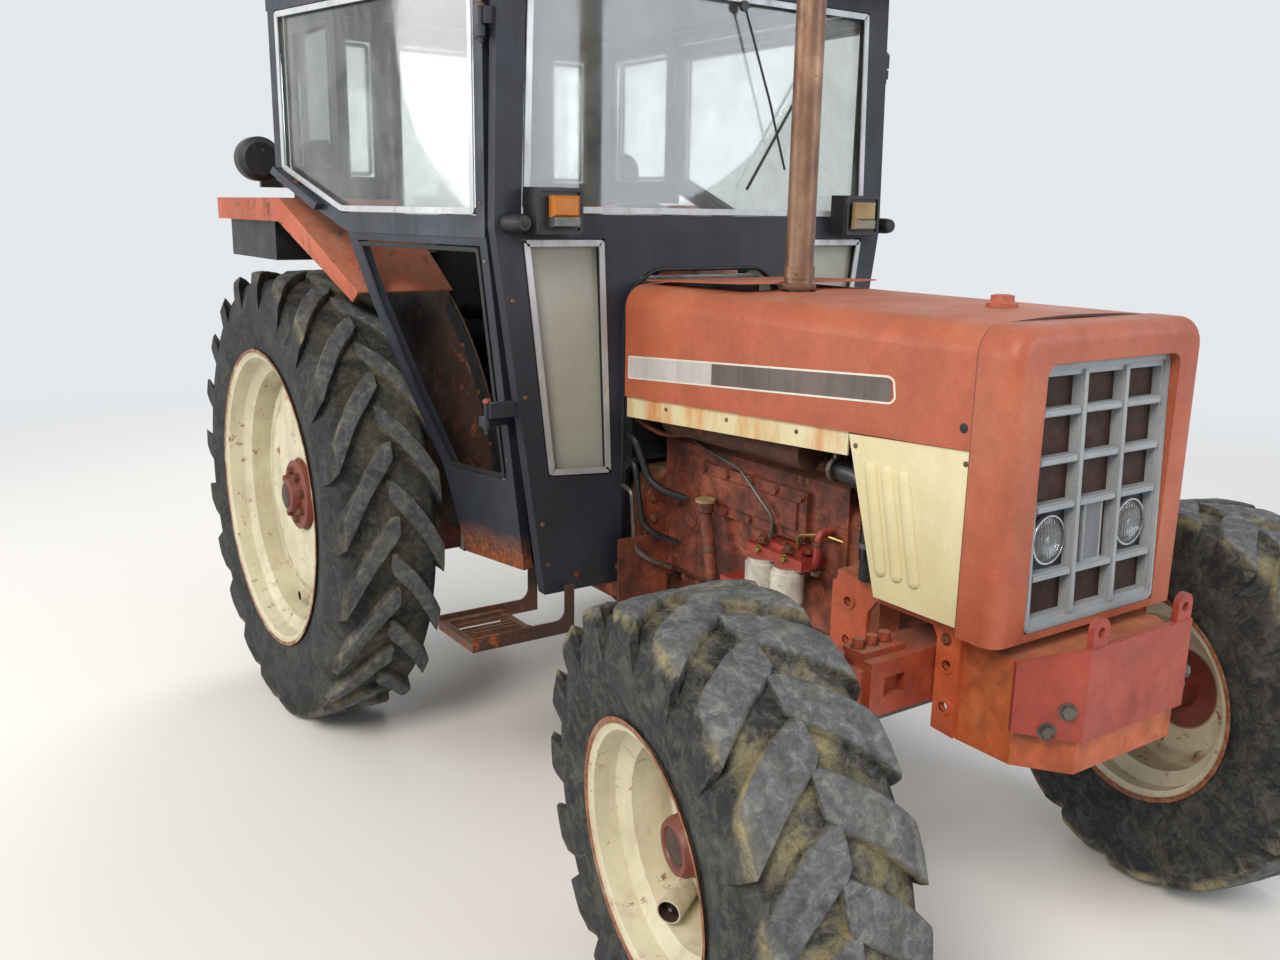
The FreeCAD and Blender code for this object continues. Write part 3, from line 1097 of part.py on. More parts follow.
FLOOR_FRONT = "cab_front - cab_wall - seat_gap"
FLOOR_HALF = (-inner_half, inner_half)
TUNNEL_WIDE, TUNNEL_TOP = 252, 1030
TUNNEL_CORNER = 40
tunnel_in = TUNNEL_WIDE - 14
tunnel_outside = mirrored([(TUNNEL_WIDE, S.floor_z), (TUNNEL_WIDE, TUNNEL_TOP - TUNNEL_CORNER),
                           (TUNNEL_WIDE - TUNNEL_CORNER, TUNNEL_TOP)])
tunnel_inside = mirrored([(tunnel_in, S.floor_z - 50), (tunnel_in, TUNNEL_TOP - TUNNEL_CORNER - 5),
                          (tunnel_in - TUNNEL_CORNER + 5, TUNNEL_TOP - 12)])
floor_pieces = [
    box("floor_plate", (115, FLOOR_FRONT), FLOOR_HALF, ("floor_z", "floor_z + floor_sheet")),
    plate("tunnel", "x", [tunnel_outside], FLOOR_FRONT + " - 115", 115),
    box("riser", (100, 115), FLOOR_HALF, ("floor_z", "deck_z + floor_sheet")),
    box("deck", ("-cab_tail", 115), FLOOR_HALF, ("deck_z", "deck_z + floor_sheet")),
]
tunnel_hollow = plate("tunnel_hollow", "x", [tunnel_inside], FLOOR_FRONT + " - 60", 80)
node(cut("cab_floor_shape", fuse("cab_floor_solid", floor_pieces), [tunnel_hollow]), "cab_floor")

# Fenders: a folded top with a tapering outer lip, and the cab's inner wall beside the tyre

FENDER_REAR = -680
SLOPE_X, SLOPE_Z, SLOPE_HALF = 484, S.fender_top - 273, 812
LIP_X = 60
top_z, thin, outer = S.fender_top, S.fender_sheet, S.fender_half
FENDER_TOP = [(SLOPE_X, SLOPE_Z), (LIP_X, top_z), (FENDER_REAR, top_z), (FENDER_REAR, top_z - S.fender_lip),
              (FENDER_REAR + thin, top_z - S.fender_lip), (FENDER_REAR + thin, top_z - thin),
              (LIP_X - 2, top_z - thin),
              (SLOPE_X - 4, SLOPE_Z - thin + 1)]


def skirt_point(z=None, x=None, angle=None):
    """A point of the skirt's round front edge, at a height, a distance or an angle."""
    if angle is not None:
        x = S.skirt_rad * math.cos(math.radians(angle))
        z = S.rear_tyre_rad + S.skirt_rad * math.sin(math.radians(angle))
    elif x is None:
        x = math.sqrt(S.skirt_rad ** 2 - (z - S.rear_tyre_rad) ** 2)
    else:
        z = S.rear_tyre_rad + math.sqrt(S.skirt_rad ** 2 - x ** 2)
    return (x, z)


SKIRT_LOW = S.floor_z + S.floor_sheet + 0.5
SKIRT = [skirt_point(z=SKIRT_LOW), skirt_point(x=450) + (skirt_point(angle=26),), (LIP_X - 2, top_z - thin),
         (FENDER_REAR + thin, top_z - thin), (FENDER_REAR + thin, 1520), (-S.cab_tail, S.deck_z),
         (-300, 930), (130, 930),
         (170, SKIRT_LOW)]
fenders = []
boxes = []
for name, side in SIDES:
    top_sheet = plate("fender_top_" + name, "y", [FENDER_TOP], "fender_half - skirt_y + fender_sheet", 0,
                      both("skirt_y - fender_sheet", "fender_half", side)[0])
    skirt = plate("fender_skirt_" + name, "y", [SKIRT], "fender_sheet", 0, both("skirt_y - fender_sheet",
                                                                                "skirt_y", side)[0])
    lip = feature("fender_lip_" + name, loft([
        [(x, side * (half - thin), low), (x, side * half, low), (x + dx, side * half, high),
         (x + dx, side * (half - thin), high)]
        for x, dx, half, low, high in ((FENDER_REAR, 0, outer, top_z - S.fender_lip, top_z),
                                       (LIP_X - 20, 20, outer, top_z - S.fender_lip, top_z),
                                       (SLOPE_X - 54, 54, SLOPE_HALF, SLOPE_Z - 34, SLOPE_Z))]))
    taper = feature("fender_taper_" + name, loft([
        [(LIP_X, side * (outer - 1), z), (LIP_X, side * (outer + 195), z),
         (SLOPE_X + 36, side * (outer + 195), z),
         (SLOPE_X + 36, side * (SLOPE_HALF - 5), z)] for z in (SLOPE_Z - 184, top_z + 143)]))
    fenders.append(fuse("fender_" + name, [cut("fender_sheet_" + name, top_sheet, [taper]), skirt, lip]))
    boxes.append(box("fender_box_" + name, (FENDER_REAR + 40, -110),
                     both("skirt_y + seat_gap", "fender_half - 35", side),
                     ("fender_top - 205", "fender_top - fender_sheet - seat_gap")))
node(group("fenders_shape", fenders), "fenders")
node(group("fender_boxes_shape", boxes), "fender_boxes")

# Steps: a slotted tray that hangs from the floor by two bent straps

TRAY_LOW, TRAY_HIGH, TRAY_LONG = 560, 25, 215
TRAY_REAR, TRAY_IN, TRAY_OUT = 960, 590, 790
HANGER = [(470, TRAY_LOW), (TRAY_OUT, TRAY_LOW), (TRAY_OUT, TRAY_LOW + 40), (530, TRAY_LOW + 40),
          (500, TRAY_LOW + 70, (509, TRAY_LOW + 49)), (500, S.floor_z - S.seat_gap),
          (470, S.floor_z - S.seat_gap)]
tray = [(0, TRAY_IN), (TRAY_LONG, TRAY_IN), (TRAY_LONG, TRAY_OUT), (0, TRAY_OUT)]
slots = [[(x, TRAY_IN + 20), (x + 70, TRAY_IN + 20), (x + 70, TRAY_OUT - 20),
          (x, TRAY_OUT - 20)] for x in (25, 120)]
steps = []
for name, side in SIDES:
    pieces = [plate("step_tray_" + name, "z", [[(x, side * y) for x, y in loop] for loop in [tray] + slots],
                    TRAY_HIGH,
                    TRAY_REAR, 0, TRAY_LOW)]
    for index, x in enumerate((TRAY_REAR - 5, TRAY_REAR + TRAY_LONG - 5)):
        hanger = [tuple([side * p[0], p[1]] + [(side * q[0], q[1]) for q in p[2:]]) for p in HANGER]
        pieces.append(plate("step_hanger_%s_%d" % (name, index), "x", [hanger], 6, x))
    steps.append(fuse("step_" + name, pieces))
node(group("steps_shape", steps), "steps")

# Doors: built closed around their hinge line, then swung to where they are parked.
# Outlines count x back from the hinge; the part below the waist leans inward.

DOOR_BACK = S.door_hinge_x - S.pillar_x - 6
DOOR_TOP = S.cab_top - 52
WAIST = S.cab_waist
SHARE = DOOR_BACK / 1062  # the outlines' inner corners keep their share of the door's length
LEAF_LOW = [(-14, WAIST - 10), (-668 * SHARE, WAIST - 10), (-662 * SHARE, WAIST - 50), (-594 * SHARE, 1463),
            (-470 * SHARE, 1217), (-338 * SHARE, 985), (-280 * SHARE, 722), (-14, 722)]
PANE_LOW = [(-44, WAIST - 50), (-620 * SHARE, WAIST - 50), (-554 * SHARE, 1463), (-431 * SHARE, 1217),
            (-302 * SHARE, 990), (-44, 990)]
LEAF_TOP = [(-14, WAIST - 30), (-660 * SHARE, WAIST - 30), (-DOOR_BACK, S.fender_top + 55),
            (-DOOR_BACK, DOOR_TOP), (-14, DOOR_TOP)]
PANE_TOP = [(-50, WAIST + 25), (-690 * SHARE, WAIST + 25), (40 - DOOR_BACK, S.fender_top + 85),
            (40 - DOOR_BACK, DOOR_TOP - 36), (-50, DOOR_TOP - 36)]
LEAF_MIDDLE = 30  # hinge line to the middle of the door's thickness


def hung(obj, hang, local):
    """Place a piece of a door by its place on the closed door."""
    for axis in "xyz":
        obj.setExpression("Placement.Base." + axis, None)
    obj.Placement = hang.multiply(local)
    return obj


def leaf(name, loops, depth, tilt, hang, side):
    """A flat piece of the door, tilted about the waist line."""
    pivot = Placement(Vector(0, -side * LEAF_MIDDLE, WAIST), Rotation(Vector(1, 0, 0), side * tilt))
    return hung(plate(name, "y", loops, depth), hang,
                pivot.multiply(Placement(Vector(0, -depth / 2, -WAIST), Rotation())))


def hinge_box(name, long, wide, x, z, hang, side):
    """A strap of a hinge, from 8 mm inside the hinge line inwards."""
    low = min(-side * 8, -side * (8 + wide))
    return hung(box(name, (0, long), (0, wide), (0, HINGE_HIGH)), hang,
                Placement(Vector(x, low, z), Rotation()))


for name, side in SIDES:
    ajar = S.door_ajar if side < 0 else 0
    hang = Placement(point(S.door_hinge_x, side * S.door_hinge_y, 0),
                     Rotation(Vector(0, 0, 1), -side * ajar))
    pieces = [leaf("door_top_" + name, [LEAF_TOP, PANE_TOP], S.door_thick, 0, hang, side),
              leaf("door_low_" + name, [LEAF_LOW, PANE_LOW], S.door_thick, -S.door_lean, hang, side)]
    bores = []
    for z, reach, leaf_wide in HINGES:
        at = Placement(Vector(0, 0, z), Rotation())
        pieces += [
            hinge_box("door_leaf_%s_%d" % (name, z), 31, leaf_wide, -43, z, hang, side),
            hinge_box("door_strap_%s_%d" % (name, z), 40, 8, -40, z, hang, side),
            hung(cylinder("door_knuckle_%s_%d" % (name, z), "z", 12, HINGE_HIGH, 0, 0, 0), hang, at),
        ]
        bores.append(hung(cylinder("door_bore_%s_%d" % (name, z), "z", "door_pin_rad + running_gap", 60, 0,
                                   0, 0), hang,
                          Placement(Vector(0, 0, z - 15), Rotation())))
    low, high = sorted((-side * 15, side * 14))
    pieces.append(feature("door_handle_" + name, loft([
        [(x, low, z), (x, high, z), (x + 18, high, z + 18), (x + 18, low, z + 18)]
        for x, z in ((12 - DOOR_BACK, S.fender_top + 75), (-800 * SHARE, WAIST + 32))]), hang))
    node(cut("door_shape_" + name, fuse("door_solid_" + name, pieces), bores), "door_" + name)
    panes = [leaf("door_pane_top_" + name, [inset(PANE_TOP, S.seat_gap)], S.pane, 0, hang, side)]
    if side > 0:
        panes.append(leaf("door_pane_low_" + name, [inset(PANE_LOW, S.seat_gap)], S.pane, -S.door_lean,
                          hang, side))
    node(group("door_glass_shape_" + name, panes), "door_glass_" + name)

# Seat, dashboard and steering wheel

SEAT_BASE = [(-180, 0), (150, 0), (180, 85), (-200, 85)]
CUSHION = [(-222, 90), (190, 82), (230, 112, (219, 92)), (214, 158, (229, 142)), (-222, 148)]
BACK = [(-226, 118), (-214, 164), (-236, 540), (-268, 555, (-250, 554)), (-290, 530, (-285, 549)),
        (-252, 118)]
seat_z = DECK_TOP
node(fuse("seat_shape", [
    plate("seat_base", "y", [SEAT_BASE], 340, 0, -170, seat_z),
    plate("seat_cushion", "y", [CUSHION], 470, 0, -235, seat_z),
    plate("seat_back", "y", [BACK], 450, 0, -225, seat_z),
]), "seat")

DASH_REAR = S.cab_front - 240
DASH = [(DASH_REAR + 50, TUNNEL_TOP + S.seat_gap), (FRONT_X, TUNNEL_TOP + S.seat_gap), (FRONT_X, 1545),
        (DASH_REAR + 110, 1545, (FRONT_X - 44, 1552)), (DASH_REAR, 1450), (DASH_REAR, 1300)]
node(plate("dashboard_body", "y", [DASH], 460, 0, -230), "dashboard")

COLUMN = [(0, 0), (0, 36), (48, 36), (60, 24), (316, 20), (324, 42), (354, 42), (362, 30), (362, 0)]
column_turn = Rotation(Vector(0, 1, 0), -50)
column_base = Placement(point(DASH_REAR + 30, 0, 1380), column_turn)
rim_place = column_base.multiply(Placement(Vector(0, 0, 340), Rotation()))
ring = doc.addObject("Part::Torus", "wheel_ring")
bind(ring, Radius1=200, Radius2=13)
ring.Placement = rim_place
wheel_pieces = [hung(revolved("column", COLUMN, 0, 0, 0), column_base, Placement(Vector(0, 0, 0), UPRIGHT)),
                ring]
for index in range(3):
    spoke = cylinder("wheel_spoke_%d" % index, "x", 8, 195, 0, 0, 0)
    wheel_pieces.append(hung(spoke, rim_place,
                             Placement(Vector(0, 0, 0), Rotation(Vector(0, 0, 1), 120 * index) * TO_X)))
node(cut("steering_wheel_shape", fuse("steering_wheel_solid", wheel_pieces),
         [box("column_trim", (DASH_REAR - S.seat_gap, DASH_REAR + 300), (-230, 230), (1030, 1500))]),
         "steering_wheel")

# Indicators with mirror stubs on the front wall, work lamps behind the side walls

BOWL = [(0, 0), (0, 58), (16, 78), (70, 78), (70, 0)]
indicators = []
work_lamps = []
for name, side in SIDES:
    indicators.append(fuse("indicator_" + name, [
        box("indicator_box_" + name, ("cab_front + seat_gap", "cab_front + 70"),
            both("cab_half - 220", "cab_half - 80", side),
            ("cab_waist - 18", "cab_waist + 100")),
        box("indicator_lens_" + name, ("cab_front + 70", "cab_front + 100"),
            both("cab_half - 200", "cab_half - 115", side),
            ("cab_waist", "cab_waist + 80")),
        cylinder("mirror_stub_" + name, "x", 22, 90, "cab_front + seat_gap", "%d * (cab_half - 40)" % side,
                 "cab_waist + 10"),
    ]))
    lamp_y = "%d * (cab_half + 100)" % side
    work_lamps.append(fuse("work_lamp_" + name, [
        revolved("work_lamp_bowl_" + name, BOWL, "70 - cab_tail - 110", lamp_y, "cab_waist + 205",
                 Rotation(Vector(0, 0, 1), 180)),
        box("work_lamp_arm_" + name, ("-cab_tail - 70", "-cab_tail + 50"),
            both("cab_half + seat_gap", "cab_half + 40", side),
            ("cab_waist + 110", "cab_waist + 140")),
        box("work_lamp_post_" + name, ("-cab_tail - 80", "-cab_tail - 55"),
            both("cab_half + 10", "cab_half + 100", side),
            ("cab_waist + 105", "cab_waist + 150")),
    ]))
node(group("indicators_shape", indicators), "indicator_lamps")
node(group("work_lamps_shape", work_lamps), "work_lamps")

doc.recompute()

for obj in doc.Objects:
    if any(state in ("Invalid", "Error") for state in obj.State):
        print("BAD STATE", obj.Name, obj.Label, obj.State)
os.makedirs("parts", exist_ok=True)
for obj in NODES:
    shape = obj.Shape
    if shape.isNull() or not shape.isValid():
        print("BAD SHAPE", obj.Label)
        continue
    bb = shape.BoundBox
    print("%-24s solids %d volume %9.0f cm3 x %6.0f %6.0f y %6.0f %6.0f z %6.0f %6.0f" % (
        obj.Label, len(shape.Solids), shape.Volume / 1000, bb.XMin, bb.XMax, bb.YMin, bb.YMax, bb.ZMin,
        bb.ZMax))
    shape.exportStep("parts/%s.step" % obj.Label)
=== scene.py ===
import bmesh
import bpy
import math
import random
from mathutils import Matrix, Vector


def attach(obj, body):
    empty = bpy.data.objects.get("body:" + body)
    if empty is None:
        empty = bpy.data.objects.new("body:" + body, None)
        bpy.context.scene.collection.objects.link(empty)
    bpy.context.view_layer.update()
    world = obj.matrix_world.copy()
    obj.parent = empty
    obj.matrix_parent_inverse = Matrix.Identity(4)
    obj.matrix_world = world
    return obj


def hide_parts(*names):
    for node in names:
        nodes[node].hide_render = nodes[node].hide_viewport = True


# Farm tractor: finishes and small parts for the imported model.
# Metres. +X is forward, +Y is the tractor's left, +Z is up, and the ground is z = 0.

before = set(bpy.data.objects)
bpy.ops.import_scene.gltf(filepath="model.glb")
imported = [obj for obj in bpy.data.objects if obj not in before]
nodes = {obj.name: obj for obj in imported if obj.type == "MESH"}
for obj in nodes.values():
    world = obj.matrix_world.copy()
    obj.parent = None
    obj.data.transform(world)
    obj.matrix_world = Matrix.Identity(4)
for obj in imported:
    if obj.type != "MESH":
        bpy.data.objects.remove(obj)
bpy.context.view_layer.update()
scene = bpy.context.scene

REAR_AXLE_X = -0.909  # the same shift as in the part's source: places below count from the rear axle
WHEELBASE = 2.245
SIDES = (("right", -1), ("left", 1))


def at(x, y, z):
    """A point whose x counts forward from the rear axle."""
    return Vector((REAR_AXLE_X + x, y, z))


# Materials

def rgb(text):
    """A colour written as six hex digits, in linear values."""
    values = [int(text[k:k + 2], 16) / 255 for k in (0, 2, 4)]
    return [v / 12.92 if v <= 0.04045 else ((v + 0.055) / 1.055) ** 2.4 for v in values] + [1.0]


class Surface:
    """A material put together from noise, ramps and mixes in the piece's own space."""

    def __init__(self, name, **sockets):
        self.material = bpy.data.materials.new(name)
        self.material.use_nodes = True
        self.tree = self.material.node_tree
        self.shader = self.tree.nodes["Principled BSDF"]
        self.where = self.tree.nodes.new("ShaderNodeTexCoord").outputs["Object"]
        for socket, value in sockets.items():
            self.shader.inputs[socket.replace("_", " ")].default_value = value

    def link(self, value, socket):
        if isinstance(value, bpy.types.NodeSocket):
            self.tree.links.new(value, socket)
        elif isinstance(value, str):
            socket.default_value = rgb(value)
        else:
            socket.default_value = value

    def stretched(self, stretch):
        node = self.tree.nodes.new("ShaderNodeMapping")
        self.link(self.where, node.inputs["Vector"])
        node.inputs["Scale"].default_value = stretch
        return node.outputs["Vector"]

    def noise(self, scale, detail=5, rough=0.6, distortion=0.0, stretch=None):
        node = self.tree.nodes.new("ShaderNodeTexNoise")
        self.link(self.stretched(stretch) if stretch else self.where, node.inputs["Vector"])
        node.inputs["Scale"].default_value = scale
        node.inputs["Detail"].default_value = detail
        node.inputs["Roughness"].default_value = rough
        node.inputs["Distortion"].default_value = distortion
        return node.outputs["Fac"]

    def cells(self, scale, stretch=None, feature="F1"):
        node = self.tree.nodes.new("ShaderNodeTexVoronoi")
        node.feature = feature
        self.link(self.stretched(stretch) if stretch else self.where, node.inputs["Vector"])
        node.inputs["Scale"].default_value = scale
        return node.outputs["Distance"]

    def axis(self, name):
        """One coordinate of the place, in metres."""
        node = self.tree.nodes.new("ShaderNodeSeparateXYZ")
        self.link(self.where, node.inputs["Vector"])
        return node.outputs[name]

    def facing(self, name="Z"):
        """How far the surface faces along an axis."""
        node = self.tree.nodes.new("ShaderNodeSeparateXYZ")
        self.link(self.tree.nodes.new("ShaderNodeNewGeometry").outputs["Normal"], node.inputs["Vector"])
        return node.outputs[name]

    def ramp(self, fac, *stops):
        """Stops are (place, colour or number)."""
        node = self.tree.nodes.new("ShaderNodeValToRGB")
        self.link(fac, node.inputs["Fac"])
        elements = node.color_ramp.elements
        while len(elements) < len(stops):
            elements.new(0.5)
        for element, (place, value) in zip(elements, stops):
            element.position = place
            element.color = rgb(value) if isinstance(value, str) else (value, value, value, 1.0)
        return node.outputs["Color"]

    def math(self, operation, a, b=0.0):
        node = self.tree.nodes.new("ShaderNodeMath")
        node.operation = operation
        node.use_clamp = True
        self.link(a, node.inputs[0])
        self.link(b, node.inputs[1])
        return node.outputs["Value"]

    def vector_math(self, operation, a, b=(0, 0, 0)):
        node = self.tree.nodes.new("ShaderNodeVectorMath")
        node.operation = operation
        self.link(a, node.inputs[0])
        self.link(b, node.inputs[1])
        return node.outputs["Value" if operation in ("LENGTH", "DISTANCE") else "Vector"]

    def mix(self, fac, a, b, blend="MIX"):
        node = self.tree.nodes.new("ShaderNodeMix")
        node.data_type = "RGBA"
        node.blend_type = blend
        self.link(fac, node.inputs["Factor"])
        self.link(a, node.inputs["A"])
        self.link(b, node.inputs["B"])
        return [socket for socket in node.outputs if socket.type == "RGBA"][0]

    def set(self, socket, value):
        self.link(value, self.shader.inputs[socket])

    def bump(self, height, distance, strength=1.0, after=None):
        node = self.tree.nodes.new("ShaderNodeBump")
        node.inputs["Distance"].default_value = distance
        node.inputs["Strength"].default_value = strength
        self.link(height, node.inputs["Height"])
        if after is not None:
            self.link(after, node.inputs["Normal"])
        self.link(node.outputs["Normal"], self.shader.inputs["Normal"])
        return node.outputs["Normal"]


def worn_paint(name, tones, rust=0.0, dust=0.15, grime=0.2, gloss=(0.38, 0.62), rust_tones=("3A1C10", "7A3D1C", "A86A35"),
               dust_tone="A79C88", grime_tone="1D1712", size=1.0, runs=(6.0, 6.0, 0.7), rusty_below=None, mottle=0.0,
               seam_x=None, **sockets):
    """Old paint: shifting tone, rain streaks, chips of rust, grime in patches, dust on what faces up, and a painted
    shadow line along the seam at seam_x.
    rust, dust and grime run from 0 to 1."""
    s = Surface(name, **sockets)
    patches = s.noise(2.6 * size, 6, 0.62)
    tone = s.ramp(patches, (0.3, tones[0]), (0.5, tones[1]), (0.7, tones[2]))
    speckle = s.noise(140 * size, 3, 0.7)
    tone = s.mix(0.35, tone, s.ramp(speckle, (0.3, 0.32), (0.7, 0.68)), "SOFT_LIGHT")
    streaks = s.noise(5.0 * size, 6, 0.65, stretch=runs)
    dirt = s.math("MULTIPLY", s.ramp(streaks, (0.46, 0.0), (0.72, 1.0)), grime)
    tone = s.mix(dirt, tone, grime_tone)
    if mottle:
        patchy = s.ramp(s.noise(15 * size, 8, 0.72, 0.6), (0.38, 0.22), (0.6, 1.0))
        tone = s.mix(mottle, tone, patchy, "MULTIPLY")
    # painted shadow: a dark line along the seam at x = seam_x, standing in for the shade in the gap between two panels
    if seam_x:
        off = s.math("MAXIMUM", s.math("SUBTRACT", s.axis("X"), seam_x), s.math("SUBTRACT", seam_x, s.axis("X")))
        tone = s.mix(s.ramp(off, (0.0014, 0.9), (0.0034, 0.0)), tone, "1A100C")
    chips = s.noise(24 * size, 9, 0.72, 0.4)
    where_worn = s.noise(3.3 * size, 4, 0.6)
    edge = 0.72 - 0.2 * rust
    worn = s.math("ADD", s.math("MULTIPLY", chips, 0.62), s.math("MULTIPLY", where_worn, 0.42))
    bare = s.ramp(worn, (edge, 0.0), (edge + 0.025, 1.0))
    if rusty_below:
        low = s.ramp(s.math("MULTIPLY", s.axis("Z"), 0.5), (0.5 * rusty_below - 0.03, 1.0), (0.5 * rusty_below + 0.02, 0.0))
        bare = s.math("MAXIMUM", bare, s.math("MULTIPLY", low, s.ramp(s.noise(9, 9, 0.7, 0.5), (0.4, 0.0), (0.5, 1.0))))
    rust_tone = s.ramp(s.noise(70 * size, 6, 0.7), (0.3, rust_tones[0]), (0.5, rust_tones[1]), (0.72, rust_tones[2]))
    tone = s.mix(bare, tone, rust_tone)
    upward = s.ramp(s.facing("Z"), (0.35, 0.0), (0.95, 1.0))
    film = s.math("MULTIPLY", s.math("MULTIPLY", upward, s.ramp(s.noise(9 * size, 7, 0.7), (0.35, 0.25), (0.7, 1.0))), dust)
    tone = s.mix(film, tone, dust_tone)
    s.set("Base Color", tone)
    shine = s.ramp(s.noise(7 * size, 6, 0.6), (0.3, gloss[0]), (0.7, gloss[1]))
    s.set("Roughness", s.mix(s.math("MAXIMUM", bare, dirt), shine, (0.86, 0.86, 0.86, 1.0)))
    first = s.bump(s.noise(260 * size, 3, 0.5), 0.0006, 0.35)
    s.bump(s.mix(0.5, s.ramp(worn, (edge - 0.02, 1.0), (edge + 0.03, 0.0)), s.noise(11 * size, 5, 0.6)), 0.0022, 0.55, first)
    return s.material


def tyre_rubber(name, dusty, centre, axis, top):
    """Worn rubber: a dark casing under scuffed, paler lugs, with painted shade at the lugs' roots; top is the radius at
    the lugs.
    """
    s = Surface(name, Specular_IOR_Level=0.3)
    offset = s.vector_math("SUBTRACT", s.where, tuple(centre))
    away = s.vector_math("LENGTH", s.vector_math("CROSS_PRODUCT", offset, tuple(axis)))
    lug_top = s.ramp(away, (top - 0.016, 0.0), (top - 0.004, 1.0))
    lug_root_shade = s.ramp(away, (top - 0.045, 1.0), (top - 0.024, 0.0))
    base = s.ramp(s.noise(5, 7, 0.65), (0.3, "1B1C1D"), (0.55, "2B2C2E"), (0.75, "3B3C3D"))
    scuffs = s.ramp(s.noise(26, 9, 0.75, 1.1, stretch=(1.0, 1.0, 1.0)), (0.46, 0.0), (0.68, 1.0))
    tone = s.mix(s.math("MULTIPLY", scuffs, 0.62 * dusty), base, "7E7E78")
    pale = s.ramp(s.noise(7.5, 8, 0.7, 0.6), (0.5, 0.0), (0.75, 1.0))
    tone = s.mix(s.math("MULTIPLY", pale, 0.5 * dusty), tone, "8F8D82")
    moss = s.math("MULTIPLY", s.ramp(s.noise(4.2, 8, 0.7, 0.8), (0.57, 0.0), (0.7, 1.0)), 0.4 * dusty)
    tone = s.mix(moss, tone, "8C8656")
    worn_top = s.math("MULTIPLY", lug_top, s.ramp(s.noise(17, 8, 0.7, 0.7), (0.3, 0.35), (0.62, 0.95)))
    lug_tone = s.ramp(s.noise(34, 8, 0.75, 0.6), (0.3, "3E4146"), (0.5, "63666A"), (0.68, "94958F"))
    tone = s.mix(s.math("MULTIPLY", worn_top, 0.4 + 0.55 * dusty), tone, lug_tone)
    # painted shade: darker from the lugs' roots inwards, over the shoulders and sidewalls
    tone = s.mix(s.math("MULTIPLY", lug_root_shade, 0.4), tone, "1C1D1F")
    wall = s.math("MULTIPLY", s.ramp(away, (top - 0.034, 0.0), (top - 0.020, 1.0)), s.ramp(away, (top - 0.012, 1.0), (top - 0.004, 0.0)))
    sandy = s.math("MULTIPLY", wall, s.ramp(s.noise(8, 7, 0.7, 0.5), (0.45, 0.0), (0.62, 0.8 * dusty)))
    tone = s.mix(sandy, tone, "A0946C")
    cuts = s.ramp(s.cells(46, stretch=(1.0, 0.45, 1.0), feature="DISTANCE_TO_EDGE"), (0.0, 0.0), (0.05, 1.0))
    gaps = s.math("MULTIPLY", s.math("SUBTRACT", 1.0, cuts), s.math("SUBTRACT", 1.0, lug_top))
    tone = s.mix(s.math("MULTIPLY", gaps, 0.3), tone, "121212")
    s.set("Base Color", tone)
    s.set("Roughness", s.ramp(s.noise(12, 5, 0.6), (0.3, 0.72), (0.7, 0.92)))
    first = s.bump(s.noise(90, 6, 0.7), 0.0015, 0.5)
    s.bump(s.noise(30, 8, 0.75), 0.004, 0.6, first)
    return s.material


def plain_rubber(name, tone="141518", shine=(0.42, 0.62)):
    s = Surface(name, Specular_IOR_Level=0.45)
    s.set("Base Color", s.mix(s.ramp(s.noise(18, 7, 0.7), (0.5, 0.0), (0.8, 0.3)), tone, "5B5850"))
    s.set("Roughness", s.ramp(s.noise(11, 5, 0.6), (0.3, shine[0]), (0.7, shine[1])))
    s.bump(s.noise(160, 4, 0.6), 0.0006, 0.35)
    return s.material


def dusty_glass(name, clear, dirt, dirt_tone="8C8A78", low_dirt=0.0):
    """Window glass with dried dust; the panes below the waist are the dirtiest."""
    s = Surface(name, IOR=1.45, Transmission_Weight=1.0)
    film = s.ramp(s.noise(3.4, 8, 0.68, 0.7), (0.38, 0.1), (0.72, 1.0))
    specks = s.ramp(s.noise(120, 4, 0.7), (0.52, 0.0), (0.68, 1.0))
    runs = s.ramp(s.noise(6, 6, 0.6, stretch=(6, 6, 0.8)), (0.5, 0.0), (0.75, 0.8))
    cover = s.math("MULTIPLY", s.math("ADD", film, s.math("ADD", s.math("MULTIPLY", specks, 0.35), s.math("MULTIPLY", runs, 0.3))), dirt)
    if low_dirt:
        below = s.ramp(s.math("MULTIPLY", s.axis("Z"), 0.5), (0.840, 1.0), (0.842, 0.0))
        patches = s.ramp(s.noise(5, 7, 0.65, 0.6), (0.3, 0.75 * low_dirt), (0.7, low_dirt))
        cover = s.math("MAXIMUM", cover, s.math("MULTIPLY", below, patches))
    s.set("Base Color", s.mix(cover, clear, dirt_tone))
    s.set("Transmission Weight", s.math("SUBTRACT", 1.0, cover))
    s.set("Roughness", s.math("MULTIPLY", cover, 0.7))
    return s.material


def bare_metal(name, tones, rust=0.5, metallic=0.7, gloss=(0.35, 0.6)):
    """Steel with heat tint or surface rust."""
    s = Surface(name, Metallic=metallic)
    tone = s.ramp(s.noise(8, 8, 0.65, 0.3, stretch=(1, 1, 0.5)), (0.3, tones[0]), (0.5, tones[1]), (0.7, tones[2]))
    rusty = s.ramp(s.noise(30, 9, 0.72), (0.66 - 0.22 * rust, 0.0), (0.72 - 0.12 * rust, 1.0))
    tone = s.mix(rusty, tone, s.ramp(s.noise(80, 6, 0.7), (0.3, "3A2016"), (0.6, "6E3B20"), (0.8, "8A5530")))
    s.set("Base Color", tone)
    s.set("Roughness", s.mix(rusty, s.ramp(s.noise(16, 5, 0.6), (0.3, gloss[0]), (0.7, gloss[1])), (0.85, 0.85, 0.85, 1.0)))
    s.bump(s.mix(0.5, rusty, s.noise(120, 5, 0.65)), 0.0012, 0.5)
    return s.material


